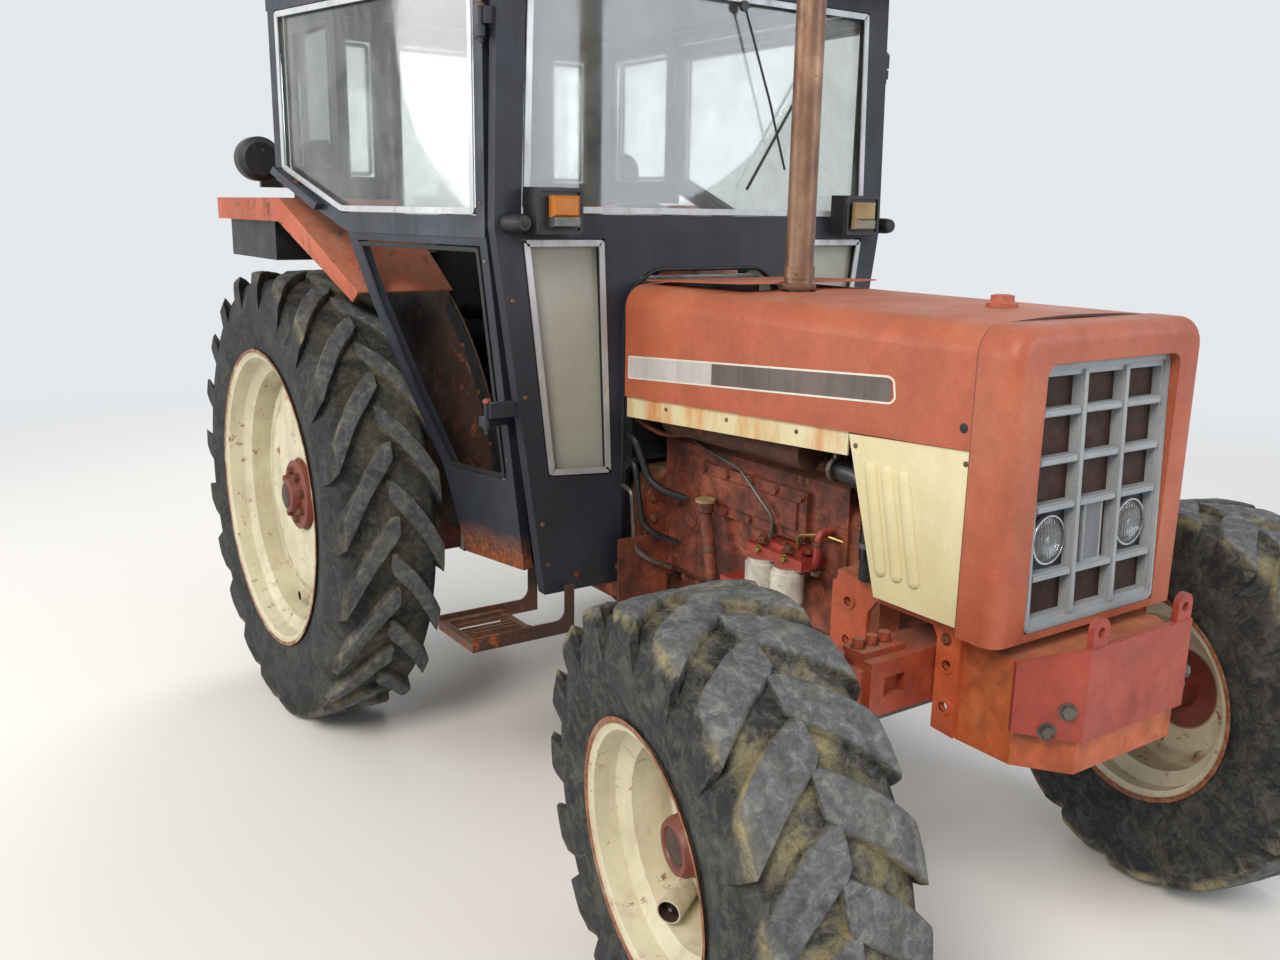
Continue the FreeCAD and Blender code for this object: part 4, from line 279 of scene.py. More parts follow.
def dim_plastic(name, tones, gloss=(0.35, 0.55)):
    s = Surface(name)
    s.set("Base Color", s.ramp(s.noise(9, 7, 0.65), (0.3, tones[0]), (0.55, tones[1]), (0.8, tones[2])))
    s.set("Roughness", s.ramp(s.noise(20, 5, 0.6), (0.3, gloss[0]), (0.7, gloss[1])))
    s.bump(s.noise(220, 4, 0.6), 0.0005, 0.4)
    return s.material


def mesh_screen(name):
    """Expanded-metal screen behind the grille: dark diamonds between brown strands; the diamonds are painted shade for
    the openings.
    """
    s = Surface(name, Metallic=0.2)
    turn = s.tree.nodes.new("ShaderNodeMapping")
    s.link(s.where, turn.inputs["Vector"])
    turn.inputs["Rotation"].default_value = (math.radians(45), 0, 0)
    weave = []
    for direction in ("Y", "Z"):
        wave = s.tree.nodes.new("ShaderNodeTexWave")
        wave.bands_direction = direction
        wave.inputs["Scale"].default_value = 44
        wave.inputs["Distortion"].default_value = 0.6
        wave.inputs["Detail"].default_value = 2
        wave.inputs["Detail Scale"].default_value = 0.4
        s.link(turn.outputs["Vector"], wave.inputs["Vector"])
        weave.append(wave.outputs["Fac"])
    strand = s.math("MAXIMUM", s.ramp(weave[0], (0.5, 0.0), (0.72, 1.0)), s.ramp(weave[1], (0.5, 0.0), (0.72, 1.0)))
    tone = s.ramp(s.noise(14, 7, 0.65), (0.3, "2A1712"), (0.55, "45281E"), (0.8, "5C3628"))
    # painted shade: the near-black between the strands stands in for the dark seen through the screen's openings
    s.set("Base Color", s.mix(strand, "0C0706", tone))
    s.set("Roughness", s.ramp(s.noise(30, 5, 0.6), (0.3, 0.6), (0.7, 0.85)))
    s.bump(strand, 0.003, 0.9)
    return s.material


def fender_paint(name):
    """Red on the top, dark brown on the skirt between the tyre and the cab."""
    s = Surface(name)
    red = s.ramp(s.noise(2.4, 6, 0.62), (0.3, "9A4A32"), (0.5, "B05A40"), (0.7, "BC6A50"))
    brown = s.ramp(s.noise(3.4, 7, 0.65), (0.3, "2A1A15"), (0.5, "3C261E"), (0.7, "523428"))
    inside = s.ramp(s.math("ABSOLUTE", s.axis("Y")), (0.514, 1.0), (0.516, 0.0))
    low = s.ramp(s.math("MULTIPLY", s.axis("Z"), 0.5), (0.7380, 1.0), (0.7390, 0.0))
    tone = s.mix(s.math("MULTIPLY", inside, low), red, brown)
    rust = s.ramp(s.noise(15, 9, 0.72, 0.5), (0.56, 0.0), (0.62, 1.0))
    tone = s.mix(rust, tone, s.ramp(s.noise(60, 6, 0.7), (0.3, "4A2414"), (0.55, "7A4426"), (0.75, "9A6440")))
    streaks = s.ramp(s.noise(5, 6, 0.65, stretch=(6, 6, 0.7)), (0.5, 0.0), (0.75, 0.45))
    tone = s.mix(streaks, tone, "33231A")
    upward = s.math("MULTIPLY", s.ramp(s.facing("Z"), (0.5, 0.0), (0.95, 1.0)), s.ramp(s.noise(8, 7, 0.7), (0.35, 0.1), (0.7, 0.55)))
    s.set("Base Color", s.mix(upward, tone, "A8907A"))
    s.set("Roughness", s.ramp(s.noise(9, 6, 0.6), (0.3, 0.5), (0.7, 0.8)))
    s.bump(s.mix(0.5, rust, s.noise(60, 6, 0.7)), 0.0018, 0.5)
    return s.material


def filter_paint(name):
    """White canisters with oily dark lower ends, under red cast heads."""
    s = Surface(name)
    height = s.math("MULTIPLY", s.axis("Z"), 1.0)
    red = s.ramp(s.noise(12, 7, 0.65), (0.3, "6E241C"), (0.5, "93352A"), (0.75, "A8483A"))
    white = s.ramp(s.noise(8, 7, 0.65), (0.3, "BFB9AA"), (0.55, "D3CEC2"), (0.8, "DEDAD0"))
    middle = s.ramp(s.axis("X"), (0.0, 0.0), (1.0, 1.0))
    low_head = s.math("MULTIPLY", s.ramp(s.math("SUBTRACT", middle, 0.0), (0.735, 1.0), (0.738, 0.0)),
                      s.ramp(height, (0.7685, 0.0), (0.7700, 1.0)))
    head = s.math("MAXIMUM", s.ramp(height, (0.8850, 0.0), (0.8865, 1.0)), low_head)
    grime = s.ramp(s.noise(9, 8, 0.68, 0.5, stretch=(1, 1, 0.6)), (0.44, 0.0), (0.62, 0.9))
    oily = s.math("MAXIMUM", s.ramp(height, (0.786, 0.75), (0.806, 0.0)), s.math("MULTIPLY", grime, 0.55))
    tone = s.mix(head, s.mix(oily, white, "2A2119"), red)
    chips = s.ramp(s.noise(34, 9, 0.72), (0.6, 0.0), (0.64, 0.8))
    tone = s.mix(chips, tone, s.ramp(s.noise(60, 6, 0.7), (0.3, "3A2016"), (0.6, "704028")))
    s.set("Base Color", tone)
    s.set("Roughness", s.ramp(s.noise(14, 6, 0.6), (0.3, 0.35), (0.7, 0.7)))
    s.bump(s.mix(0.5, chips, s.noise(90, 5, 0.65)), 0.0012, 0.5)
    return s.material


def rim_paint(name, centre, ring, edge, hub, lip_wear):
    """Pale wheel paint, rusted on its outer flange and round the disc's joint."""
    s = Surface(name)
    tone = s.ramp(s.noise(6, 7, 0.65), (0.3, "B5AE94"), (0.5, "C6C0A6"), (0.75, "D4CFB8"))
    distance = s.tree.nodes.new("ShaderNodeVectorMath")
    distance.operation = "DISTANCE"
    s.link(s.where, distance.inputs[0])
    distance.inputs[1].default_value = centre
    away = distance.outputs["Value"]
    lip = s.math("MULTIPLY", s.ramp(away, (edge - 0.0145, 0.0), (edge - 0.0120, 1.0)), s.ramp(s.noise(14, 8, 0.7), (0.3, 1.0 - lip_wear), (0.5, 1.0)))
    flange = s.ramp(away, (edge - 0.028, 0.0), (edge - 0.010, 0.5))
    joint = s.math("MULTIPLY", s.ramp(away, (ring - 0.02, 0.0), (ring, 0.65)), s.ramp(away, (ring, 1.0), (ring + 0.03, 0.0)))
    spread = s.ramp(s.noise(16, 9, 0.72, 0.5), (0.36, 0.0), (0.6, 1.0))
    rust = s.math("MULTIPLY", s.math("MAXIMUM", flange, joint), spread)
    rust = s.math("MAXIMUM", rust, lip)
    chips = s.ramp(s.noise(20, 9, 0.72, 0.6), (0.59, 0.0), (0.64, 0.85))
    rust = s.math("MAXIMUM", rust, chips)
    tone = s.mix(s.ramp(away, (hub, 1.0), (hub + 0.004, 0.0)), tone, s.ramp(s.noise(9, 7, 0.65), (0.3, "5A261C"), (0.6, "80392C")))
    tone = s.mix(rust, tone, s.ramp(s.noise(60, 6, 0.7), (0.3, "4A2614"), (0.5, "7A4526"), (0.72, "A0683C")))
    streaks = s.ramp(s.noise(5, 6, 0.65, stretch=(4, 4, 0.8)), (0.5, 0.0), (0.75, 0.3))
    tone = s.mix(streaks, tone, "6B4A2A")
    s.set("Base Color", tone)
    s.set("Roughness", s.ramp(s.noise(12, 6, 0.6), (0.3, 0.45), (0.7, 0.75)))
    s.bump(s.mix(0.5, chips, s.noise(80, 5, 0.65)), 0.0012, 0.5)
    return s.material


def clear_lens(name, tone, rough=0.12, through=0.75):
    """Moulded lamp glass with its ribs."""
    s = Surface(name, IOR=1.5, Transmission_Weight=through)
    s.set("Base Color", s.mix(s.ramp(s.noise(40, 6, 0.7), (0.5, 0.0), (0.8, 0.35)), tone, "8A8474"))
    s.set("Roughness", s.ramp(s.noise(22, 5, 0.6), (0.3, rough), (0.7, rough + 0.22)))
    wave = s.tree.nodes.new("ShaderNodeTexWave")
    wave.bands_direction = "Y"
    wave.inputs["Scale"].default_value = 36
    s.link(s.where, wave.inputs["Vector"])
    s.bump(wave.outputs["Fac"], 0.0012, 0.6)
    return s.material


M = {
    "bonnet": worn_paint("bonnet_paint", ("9C4A30", "AE5A3C", "B86A4C"), rust=0.16, dust=0.34, grime=0.2, dust_tone="B88C74", size=0.8, seam_x=1.483, runs=(1.6, 1.6, 0.8), mottle=0.12),
    "nose": worn_paint("nose_paint", ("94462E", "A6543A", "B06446"), rust=0.2, dust=0.25, grime=0.25, dust_tone="BC8A74", seam_x=1.483, runs=(1.6, 1.6, 0.8), mottle=0.12),
    "casting": worn_paint("casting_paint", ("A24A26", "B85C32", "C46E42"), rust=0.36, size=1.7, dust=0.3, grime=0.5, grime_tone="3A2A1A", runs=(1.3, 1.3, 1.0), mottle=0.35),
    "rail": worn_paint("rail_paint", ("A84A2A", "BF5C38", "CB6E4A"), rust=0.22, dust=0.3, grime=0.35, grime_tone="3A2418", runs=(1.3, 1.3, 1.0), mottle=0.3),
    "axle": worn_paint("axle_paint", ("8A3520", "A2452C", "B2573C"), rust=0.34, dust=0.3, grime=0.5, grime_tone="2A1710", runs=(1.3, 1.3, 1.0), mottle=0.5),
    "bracket": worn_paint("bracket_paint", ("7E2D1E", "96392A", "A84A38"), rust=0.36, dust=0.15, grime=0.3, runs=(1.3, 1.3, 1.0), mottle=0.3),
    "engine": worn_paint("engine_paint", ("5C2C20", "84402E", "A0583F"), rust=0.5, dust=0.25, grime=0.85, gloss=(0.5, 0.75), dust_tone="7E6A48",
                         grime_tone="251A10", size=1.6, runs=(1.3, 1.3, 1.0), mottle=0.85),
    "housing": worn_paint("housing_paint", ("5A2E1E", "7A3A26", "96492F"), rust=0.45, dust=0.4, grime=0.9, gloss=(0.55, 0.8), dust_tone="77704A",
                          grime_tone="221A10", size=1.3, runs=(1.3, 1.3, 1.0), mottle=0.85),
    "fender": fender_paint("fender_paint"),
    "cab": worn_paint("cab_paint", ("15171D", "1F222B", "2C303C"), rust=0.12, dust=0.1, grime=0.2, gloss=(0.54, 0.64), dust_tone="6E6C68",
                      grime_tone="0C0B0B"),
    "door": worn_paint("door_paint", ("171A21", "232833", "333A48"), rust=0.24, dust=0.15, grime=0.3, gloss=(0.4, 0.62), dust_tone="6A6862",
                       grime_tone="100D0C", rusty_below=0.80),
    "black": worn_paint("black_paint", ("101114", "191A1E", "26282C"), rust=0.2, dust=0.3, grime=0.2, dust_tone="77726A"),
    "cream_panel": worn_paint("cream_panel_paint", ("C8BC90", "D2C89E", "DAD2AE"), rust=0.1, dust=0.06, grime=0.16, grime_tone="8A6A3A", runs=(1.6, 1.6, 0.6)),
    "cream_strip": worn_paint("cream_strip_paint", ("C4B88E", "CEC49C", "D8D0AE"), rust=0.3, dust=0.08, grime=1.0, grime_tone="C07830", runs=(1.8, 1.8, 0.5)),
    "rim": worn_paint("rim_paint", ("BDB79C", "CBC6AC", "D6D2BD"), rust=0.16, dust=0.12, grime=0.28, grime_tone="6B4A2A", gloss=(0.4, 0.65)),
    "hub": worn_paint("hub_paint", ("5A261C", "74342A", "8A453A"), rust=0.45, dust=0.15, grime=0.5),
    "grille": worn_paint("grille_paint", ("7E8386", "8E9396", "9CA0A3"), rust=0.03, dust=0.12, grime=0.2, grime_tone="4A4640", gloss=(0.35, 0.5), runs=(1.2, 1.2, 1.0)),
    "filter_white": filter_paint("filter_paint"),
    "filter_head": worn_paint("filter_head_paint", ("7E2A22", "9A382E", "A84A40"), rust=0.2, dust=0.2, grime=0.4),
    "fan": worn_paint("fan_paint", ("5A5C5E", "6E7072", "808284"), rust=0.25, dust=0.2, grime=0.4),
    "radiator": worn_paint("radiator_paint", ("0D0D0E", "151516", "1E1E1F"), rust=0.1, dust=0.3, grime=0.3),
    "step": worn_paint("step_paint", ("2C1C16", "43291E", "573627"), rust=0.75, dust=0.3, grime=0.4),
    "exhaust": bare_metal("exhaust_steel", ("553A2E", "7A5C4A", "9A7C64"), rust=0.3, metallic=0.55, gloss=(0.34, 0.55)),
    "manifold": bare_metal("manifold_iron", ("2E1C14", "442A1E", "5A3A2A"), rust=0.7, metallic=0.2, gloss=(0.7, 0.85)),
    "steel": bare_metal("worn_steel", ("4A4744", "5E5A56", "726E68"), rust=0.5, metallic=0.6),
    "bolt": bare_metal("bolt_steel", ("4A3A30", "6A5448", "8A7460"), rust=0.7, metallic=0.5),
    "silver": worn_paint("window_trim", ("9C9FA2", "AEB1B4", "C0C2C4"), rust=0.02, dust=0.1, grime=0.28, grime_tone="55503F", gloss=(0.3, 0.45), Metallic=0.35),
    "hose": plain_rubber("hose_rubber", "0E0F12", (0.25, 0.4)),
    "rubber": plain_rubber("seal_rubber"),
    "glass": dusty_glass("cab_window_glass", "F2F6F4", 0.13, low_dirt=0.86),
    "low_glass": dusty_glass("low_window_glass", "E8E8DC", 0.9, "8A8674"),
    "screen": mesh_screen("grille_screen"),
    "seat": dim_plastic("seat_vinyl", ("1A1A1C", "242427", "303034")),
    "dash": dim_plastic("dash_plastic", ("121215", "1A1B1F", "26272B")),
    "wood": dim_plastic("worn_block", ("8A7350", "A08A64", "B29C76"), (0.7, 0.9)),
    "valve_cup": worn_paint("valve_cup_paint", ("B0A88C", "BEB79E", "CCC6B0"), rust=0.55, dust=0.1, grime=0.5, grime_tone="6B4A2A"),
    "hub_core": worn_paint("hub_core_paint", ("20120E", "33201A", "4A2C22"), rust=0.6, dust=0.1, grime=0.7, grime_tone="0E0A08", size=2.2, runs=(1.0, 1.0, 1.0)),
    "strip_pale": worn_paint("decal_border", ("C9C4B4", "D6D2C4", "E0DDD2"), rust=0.05, dust=0.1, grime=0.2, grime_tone="6A5A48"),
    "strip_dark": worn_paint("decal_dark", ("4A3E3C", "5C504C", "6E625E"), rust=0.3, dust=0.15, grime=0.35, rust_tones=("A89C90", "BDB2A6", "CBC2B8"),
                             grime_tone="2E2422", gloss=(0.4, 0.6)),
    "strip_silver": worn_paint("decal_silver", ("A9A6A2", "B9B6B2", "C6C4C0"), rust=0.12, dust=0.1, grime=0.25, grime_tone="6E5C50"),
    "plaque": worn_paint("plaque_face", ("54565A", "64666A", "74767A"), rust=0.1, dust=0.15, grime=0.3),
    "rusty_bolt": bare_metal("rusty_bolt_steel", ("4A2A1C", "6A3C26", "845436"), rust=0.8, metallic=0.2, gloss=(0.6, 0.8)),
    "chrome": bare_metal("lamp_chrome", ("9A9C9E", "B6B8BA", "CCCECF"), rust=0.12, metallic=0.95, gloss=(0.12, 0.3)),
    "reflector": bare_metal("lamp_reflector", ("4E5052", "6C6F72", "8C8F92"), rust=0.02, metallic=0.95, gloss=(0.14, 0.26)),
    "lens": clear_lens("lamp_lens", "E6E8E6", rough=0.05, through=0.93),
    "amber": clear_lens("amber_lens", "C8761E", through=0.25),
    "red_lens": clear_lens("red_lens", "B01818", through=0.25),
    "brass": bare_metal("brass_fitting", ("6E5A30", "8E7640", "A68E54"), rust=0.2, metallic=0.8),
    "tan": worn_paint("tan_lid", ("8A6E4C", "A0835C", "B0966E"), rust=0.5, dust=0.2, grime=0.4),
    "orange_part": worn_paint("orange_bracket", ("A8542A", "BE6632", "C8784A"), rust=0.2, dust=0.2, grime=0.3),
    "gauge": dim_plastic("gauge_face", ("D0D0C8", "DADAD2", "E4E4DE"), (0.3, 0.4)),
    "cloth": dim_plastic("seat_cover", ("16171A", "212226", "2E2F34"), (0.55, 0.75)),
    "red_hinge": worn_paint("hinge_paint", ("7E3A36", "9A4A44", "AA5C54"), rust=0.3, dust=0.1, grime=0.3),
}

CAD_FINISH = {
    "bonnet": "bonnet bonnet_hatch radiator_cap", "nose": "nose_cowl", "casting": "front_support", "rail": "side_rails",
    "axle": "front_axle knuckle_right knuckle_left", "bracket": "weight_bracket", "engine": "engine_block tappet_cover",
    "housing": "transmission_housing rear_axle_housing lift_arms", "fender": "fenders",
    "cab": "cab_front_wall cab_side_walls cab_rear_wall cab_roof cab_floor", "door": "door_right door_left",
    "black": "fender_boxes work_lamps indicator_lamps", "cream_panel": "side_panels", "cream_strip": "bonnet_strips",
    "rim": "rear_rim_right rear_rim_left front_rim_right front_rim_left", "grille": "grille", "filter_white": "oil_and_fuel_filters",
    "fan": "cooling_fan", "radiator": "radiator", "step": "steps", "exhaust": "exhaust_stack", "manifold": "manifold",
    "steel": "tie_rod lift_rods lower_links drawbar", 
    "hose": "radiator_hose", "glass": "cab_glass door_glass_right door_glass_left headlamps",
    "screen": "grille_mesh", "seat": "seat", "dash": "dashboard steering_wheel",
}


def give(obj, material):
    """One material for the whole piece."""
    obj.data.materials.clear()
    obj.data.materials.append(material)


for key, names in CAD_FINISH.items():
    for name in names.split():
        give(nodes[name], M[key])

# Building small parts

class Piece:
    """One mesh put together from many small solids, each with its own material."""

    def __init__(self, name):
        self.name = name
        self.bm = bmesh.new()
        self.keys = []

    def add(self, corners, faces, key, place=None):
        """Faces over corners; place turns and moves them."""
        if key not in self.keys:
            self.keys.append(key)
        index = self.keys.index(key)
        made = [self.bm.verts.new(place @ Vector(c) if place else Vector(c)) for c in corners]
        for face in faces:
            new = self.bm.faces.new([made[k] for k in face])
            new.material_index = index
            new.smooth = True
        return made

    def prism(self, outline, low, high, key, axis="x", place=None, bevel=0.0015):
        """An outline between two levels along an axis, with chamfered rims; the outline is in the other two axes' order."""
        middle = [sum(p[k] for p in outline) / len(outline) for k in (0, 1)]
        count = len(outline)
        rings = []
        for level, taken in ((low, bevel), (low + bevel, 0.0), (high - bevel, 0.0), (high, bevel)):
            ring = []
            for u, v in outline:
                away = math.hypot(u - middle[0], v - middle[1]) or 1.0
                share = 1.0 - 1.3 * taken / away
                u2, v2 = middle[0] + (u - middle[0]) * share, middle[1] + (v - middle[1]) * share
                ring.append({"x": (level, u2, v2), "y": (u2, level, v2), "z": (u2, v2, level)}[axis])
            rings.append(ring)
        corners = [c for ring in rings for c in ring]
        faces = [[k * count + i, k * count + (i + 1) % count, (k + 1) * count + (i + 1) % count, (k + 1) * count + i]
                 for k in range(3) for i in range(count)]
        faces += [list(range(count))[::-1], list(range(3 * count, 4 * count))]
        self.add(corners, faces, key, place)

    def box(self, low, high, key, place=None, bevel=0.0015):
        self.prism([(low[1], low[2]), (high[1], low[2]), (high[1], high[2]), (low[1], high[2])], low[0], high[0], key, "x",
                   place, bevel)

    def turned(self, profile, key, place, count=32):
        """A profile of (along, radius) turned about the local X axis."""
        corners, faces = [], []
        for along, radius in profile:
            for i in range(count):
                a = 2 * math.pi * i / count
                corners.append((along, max(radius, 1e-5) * math.cos(a), max(radius, 1e-5) * math.sin(a)))
        for k in range(len(profile) - 1):
            for i in range(count):
                j = (i + 1) % count
                faces.append([k * count + i, k * count + j, (k + 1) * count + j, (k + 1) * count + i])
        self.add(corners, faces, key, place)

    def bolt(self, where, direction, size, key="bolt", high=None, washer=True):
        """A hexagon head with its washer, standing on a surface."""
        high = high or 0.7 * size
        place = Matrix.Translation(where) @ Vector(direction).to_track_quat("X", "Z").to_matrix().to_4x4()
        if washer:
            self.turned([(0, 0), (0, 1.35 * size), (0.12 * size, 1.35 * size), (0.12 * size, 0)], key, place, 14)
        self.turned([(0, 0), (0, size), (0.8 * high, size), (high, 0.84 * size), (high, 0)], key, place, 6)

    def tube(self, points, radius, key, count=10, ends=True):
        """A round bar along points, its corners rounded by two more points each."""
        path = [Vector(points[0])]
        for before, here, after in zip(points, points[1:], points[2:]):
            before, here, after = Vector(before), Vector(here), Vector(after)
            reach = min(0.4 * (here - before).length, 0.4 * (after - here).length, 4.0 * radius)
            first, last = here + (before - here).normalized() * reach, here + (after - here).normalized() * reach
            for t in (0.0, 0.25, 0.5, 0.75, 1.0):
                path.append(first.lerp(here, t).lerp(here.lerp(last, t), t))
        path.append(Vector(points[-1]))
        corners, faces = [], []
        up = Vector((0, 0, 1)) if abs((path[1] - path[0]).normalized().z) < 0.9 else Vector((0, 1, 0))
        for k, here in enumerate(path):
            ahead = (path[min(k + 1, len(path) - 1)] - path[max(k - 1, 0)]).normalized()
            across = ahead.cross(up).normalized()
            up = across.cross(ahead).normalized()
            for i in range(count):
                a = 2 * math.pi * i / count
                corners.append(here + (across * math.cos(a) + up * math.sin(a)) * radius)
        for k in range(len(path) - 1):
            for i in range(count):
                j = (i + 1) % count
                faces.append([k * count + i, k * count + j, (k + 1) * count + j, (k + 1) * count + i])
        if ends:
            faces += [list(range(count))[::-1], [(len(path) - 1) * count + i for i in range(count)]]
        self.add(corners, faces, key)

    def frame(self, outline, wide, low, high, key, axis="x", place=None, round_to=0.0):
        """A flat border along an outline, from it inwards, between two levels."""
        loop = rounded_corners(outline, round_to) if round_to else list(outline)
        inner = shrink(loop, wide)
        count = len(loop)
        corners = []
        for level, taken in ((low, 0.0), (high, 0.0)):
            for ring in (loop, inner):
                for u, v in ring:
                    corners.append({"x": (level, u, v), "y": (u, level, v), "z": (u, v, level)}[axis])
        faces = []
        for i in range(count):
            j = (i + 1) % count
            a, b, c, d = 0, count, 2 * count, 3 * count
            faces += [[a + i, a + j, b + j, b + i], [c + i, d + i, d + j, c + j], [a + i, c + i, c + j, a + j],
                      [b + i, b + j, d + j, d + i]]
        self.add(corners, faces, key, place)

    def done(self, body="chassis", replaces=(), sharp=32):
        mesh = bpy.data.meshes.new(self.name)
        bmesh.ops.recalc_face_normals(self.bm, faces=self.bm.faces[:])
        self.bm.to_mesh(mesh)
        self.bm.free()
        mesh.set_sharp_from_angle(angle=math.radians(sharp))
        for key in self.keys:
            mesh.materials.append(M[key])
        obj = bpy.data.objects.new(self.name, mesh)
        scene.collection.objects.link(obj)
        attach(obj, body)
        if replaces:
            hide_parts(*replaces)
        return obj


def shrink(loop, gap):
    """Move the sides of an outline inwards."""
    area = sum(p[0] * q[1] - q[0] * p[1] for p, q in zip(loop, loop[1:] + loop[:1]))
    gap = math.copysign(gap, area)
    moved = []
    for before, here, after in zip(loop[-1:] + loop[:-1], loop, loop[1:] + loop[:1]):
        u = Vector((here[0] - before[0], here[1] - before[1])).normalized()
        w = Vector((after[0] - here[0], after[1] - here[1])).normalized()
        reach = gap / max(1 + u.dot(w), 0.2)
        moved.append((here[0] - reach * (u.y + w.y), here[1] + reach * (u.x + w.x)))
    return moved


def rounded_corners(loop, radius, steps=4):
    """The outline with its corners rounded."""
    made = []
    for before, here, after in zip(loop[-1:] + loop[:-1], loop, loop[1:] + loop[:1]):
        b, h, a = Vector(before), Vector(here), Vector(after)
        reach = min(radius, 0.45 * (b - h).length, 0.45 * (a - h).length)
        first, last = h + (b - h).normalized() * reach, h + (a - h).normalized() * reach
        for k in range(steps + 1):
            t = k / steps
            made.append(tuple(first.lerp(h, t).lerp(h.lerp(last, t), t)))
    return made


def mirrored(half):
    """A closed outline from its +Y half, as (y, z) points from bottom to top."""
    return list(half) + [(-y, z) for y, z in reversed(half)]


def wheel_turn(side, steer=0.0, camber=0.0):
    """Local +X of a wheel points away from the tractor."""
    return (Matrix.Rotation(math.radians(steer), 4, "Z") @ Matrix.Rotation(math.radians(90 * side), 4, "Z")
            @ Matrix.Rotation(math.radians(camber), 4, "Y"))


# Wheels

PARKED_STEER = -9.5
CAMBER = 3.0
REAR_WHEEL_Y, REAR_AXLE_Z = 0.826, 0.762
KINGPIN_Y, WHEEL_OFFSET, FRONT_AXLE_Z = 0.530, 0.237, 0.512


def rear_place(side):
    return Matrix.Translation(at(0, side * REAR_WHEEL_Y, REAR_AXLE_Z)) @ wheel_turn(side)


def front_place(side):
    turn = wheel_turn(side, PARKED_STEER, CAMBER)
    out = turn @ Vector((WHEEL_OFFSET, 0, 0))
    return Matrix.Translation(at(WHEELBASE + out.x, side * KINGPIN_Y + out.y, FRONT_AXLE_Z)) @ turn


def smooth_path(points, steps):
    """A curve through points, as many steps between each pair."""
    made = []
    for k in range(len(points) - 1):
        p0, p1 = Vector(points[max(k - 1, 0)]), Vector(points[k])
        p2, p3 = Vector(points[k + 1]), Vector(points[min(k + 2, len(points) - 1)])
        for s in range(steps):
            t = s / steps
            made.append(0.5 * ((2 * p1) + (p2 - p0) * t + (2 * p0 - 5 * p1 + 4 * p2 - p3) * t * t
                               + (3 * p1 - p0 - 3 * p2 + p3) * t ** 3))
    made.append(Vector(points[-1]))
    return made


def crown_at(path, along):
    """Radius of the carcass's tread side over a distance from the middle plane."""
    best = [p for p in path if p.y > 0.5 * (path[0].y + max(q.y for q in path))]
    return min(best, key=lambda p: abs(p.x - along)).y


def tyre_mesh(name, side, place, half, carcass, top, bead, bead_at, bulge, lug_count, lug, sweep, body, node, key, seed):
    """A round casing with curved lugs. lug is the width at the middle and at the shoulder;
    bulge is the radius of the widest point."""
    chance = random.Random(seed)
    piece = Piece(name)
    profile = [(bead_at - 0.004, bead), (bead_at + 0.001, bead + 0.004), (bead_at + 0.004, bead + 0.018),
               (half - 0.012, 0.5 * (bead + bulge)), (half - 0.001, bulge), (half - 0.012, 0.55 * bulge + 0.45 * carcass),
               (half - 0.034, carcass - 0.016), (half - 0.075, carcass - 0.004), (0, carcass)]
    one_side = smooth_path(profile, 5)
    path = one_side + [Vector((-p.x, p.y)) for p in reversed(one_side[:-1])]
    piece.turned([(p.x, p.y) for p in path], key, place, 112)
    stations = 12
    for row, sign in enumerate((1, -1)):
        for index in range(lug_count):
            spin = 2 * math.pi * (index + 0.5 * row) / lug_count
            corners, faces = [], []
            wear = chance.uniform(0.86, 1.0)
            for k in range(stations):
                t = k / (stations - 1)
                along = -0.012 + t * (half - 0.004 + 0.012)
                fall = max(0.0, (t - 0.72) / 0.28)
                reach = top - 0.0015 - 0.003 * (1 - wear) - 0.012 * fall ** 2 - 0.026 * max(0.0, (t - 0.93) / 0.07)
                root = min(crown_at(one_side, min(along, half - 0.04)), carcass) - 0.012 - (carcass - bulge) * 0.62 * fall ** 1.3
                width = (lug[0] + (lug[1] - lug[0]) * t) * (0.72 if k in (0, stations - 1) else 1.0)
                angle = side * math.radians(sweep) * (0.55 * t + 0.45 * t * t)
                for across, radius in ((-0.60, root), (-0.52, 0.3 * root + 0.7 * reach), (-0.475, reach - 0.0025), (-0.42, reach),
                                       (0.0, reach + 0.0006), (0.42, reach), (0.475, reach - 0.0025),
                                       (0.52, 0.3 * root + 0.7 * reach), (0.60, root)):
                    jitter = chance.uniform(-0.0016, 0.0012) if radius > root + 0.003 else 0.0
                    turn = angle + across * width / top + spin + chance.uniform(-0.0012, 0.0012) / top
                    radius = radius + jitter
                    corners.append((sign * along, radius * math.sin(turn), radius * math.cos(turn)))
            ring = 9
            for k in range(stations - 1):
                for i in range(ring - 1):
                    faces.append([k * ring + i, k * ring + i + 1, (k + 1) * ring + i + 1, (k + 1) * ring + i])
            faces += [list(range(ring)), [(stations - 1) * ring + i for i in range(ring)][::-1]]
            piece.add(corners, faces, key, place)
    return piece.done(body, (node,), sharp=34)


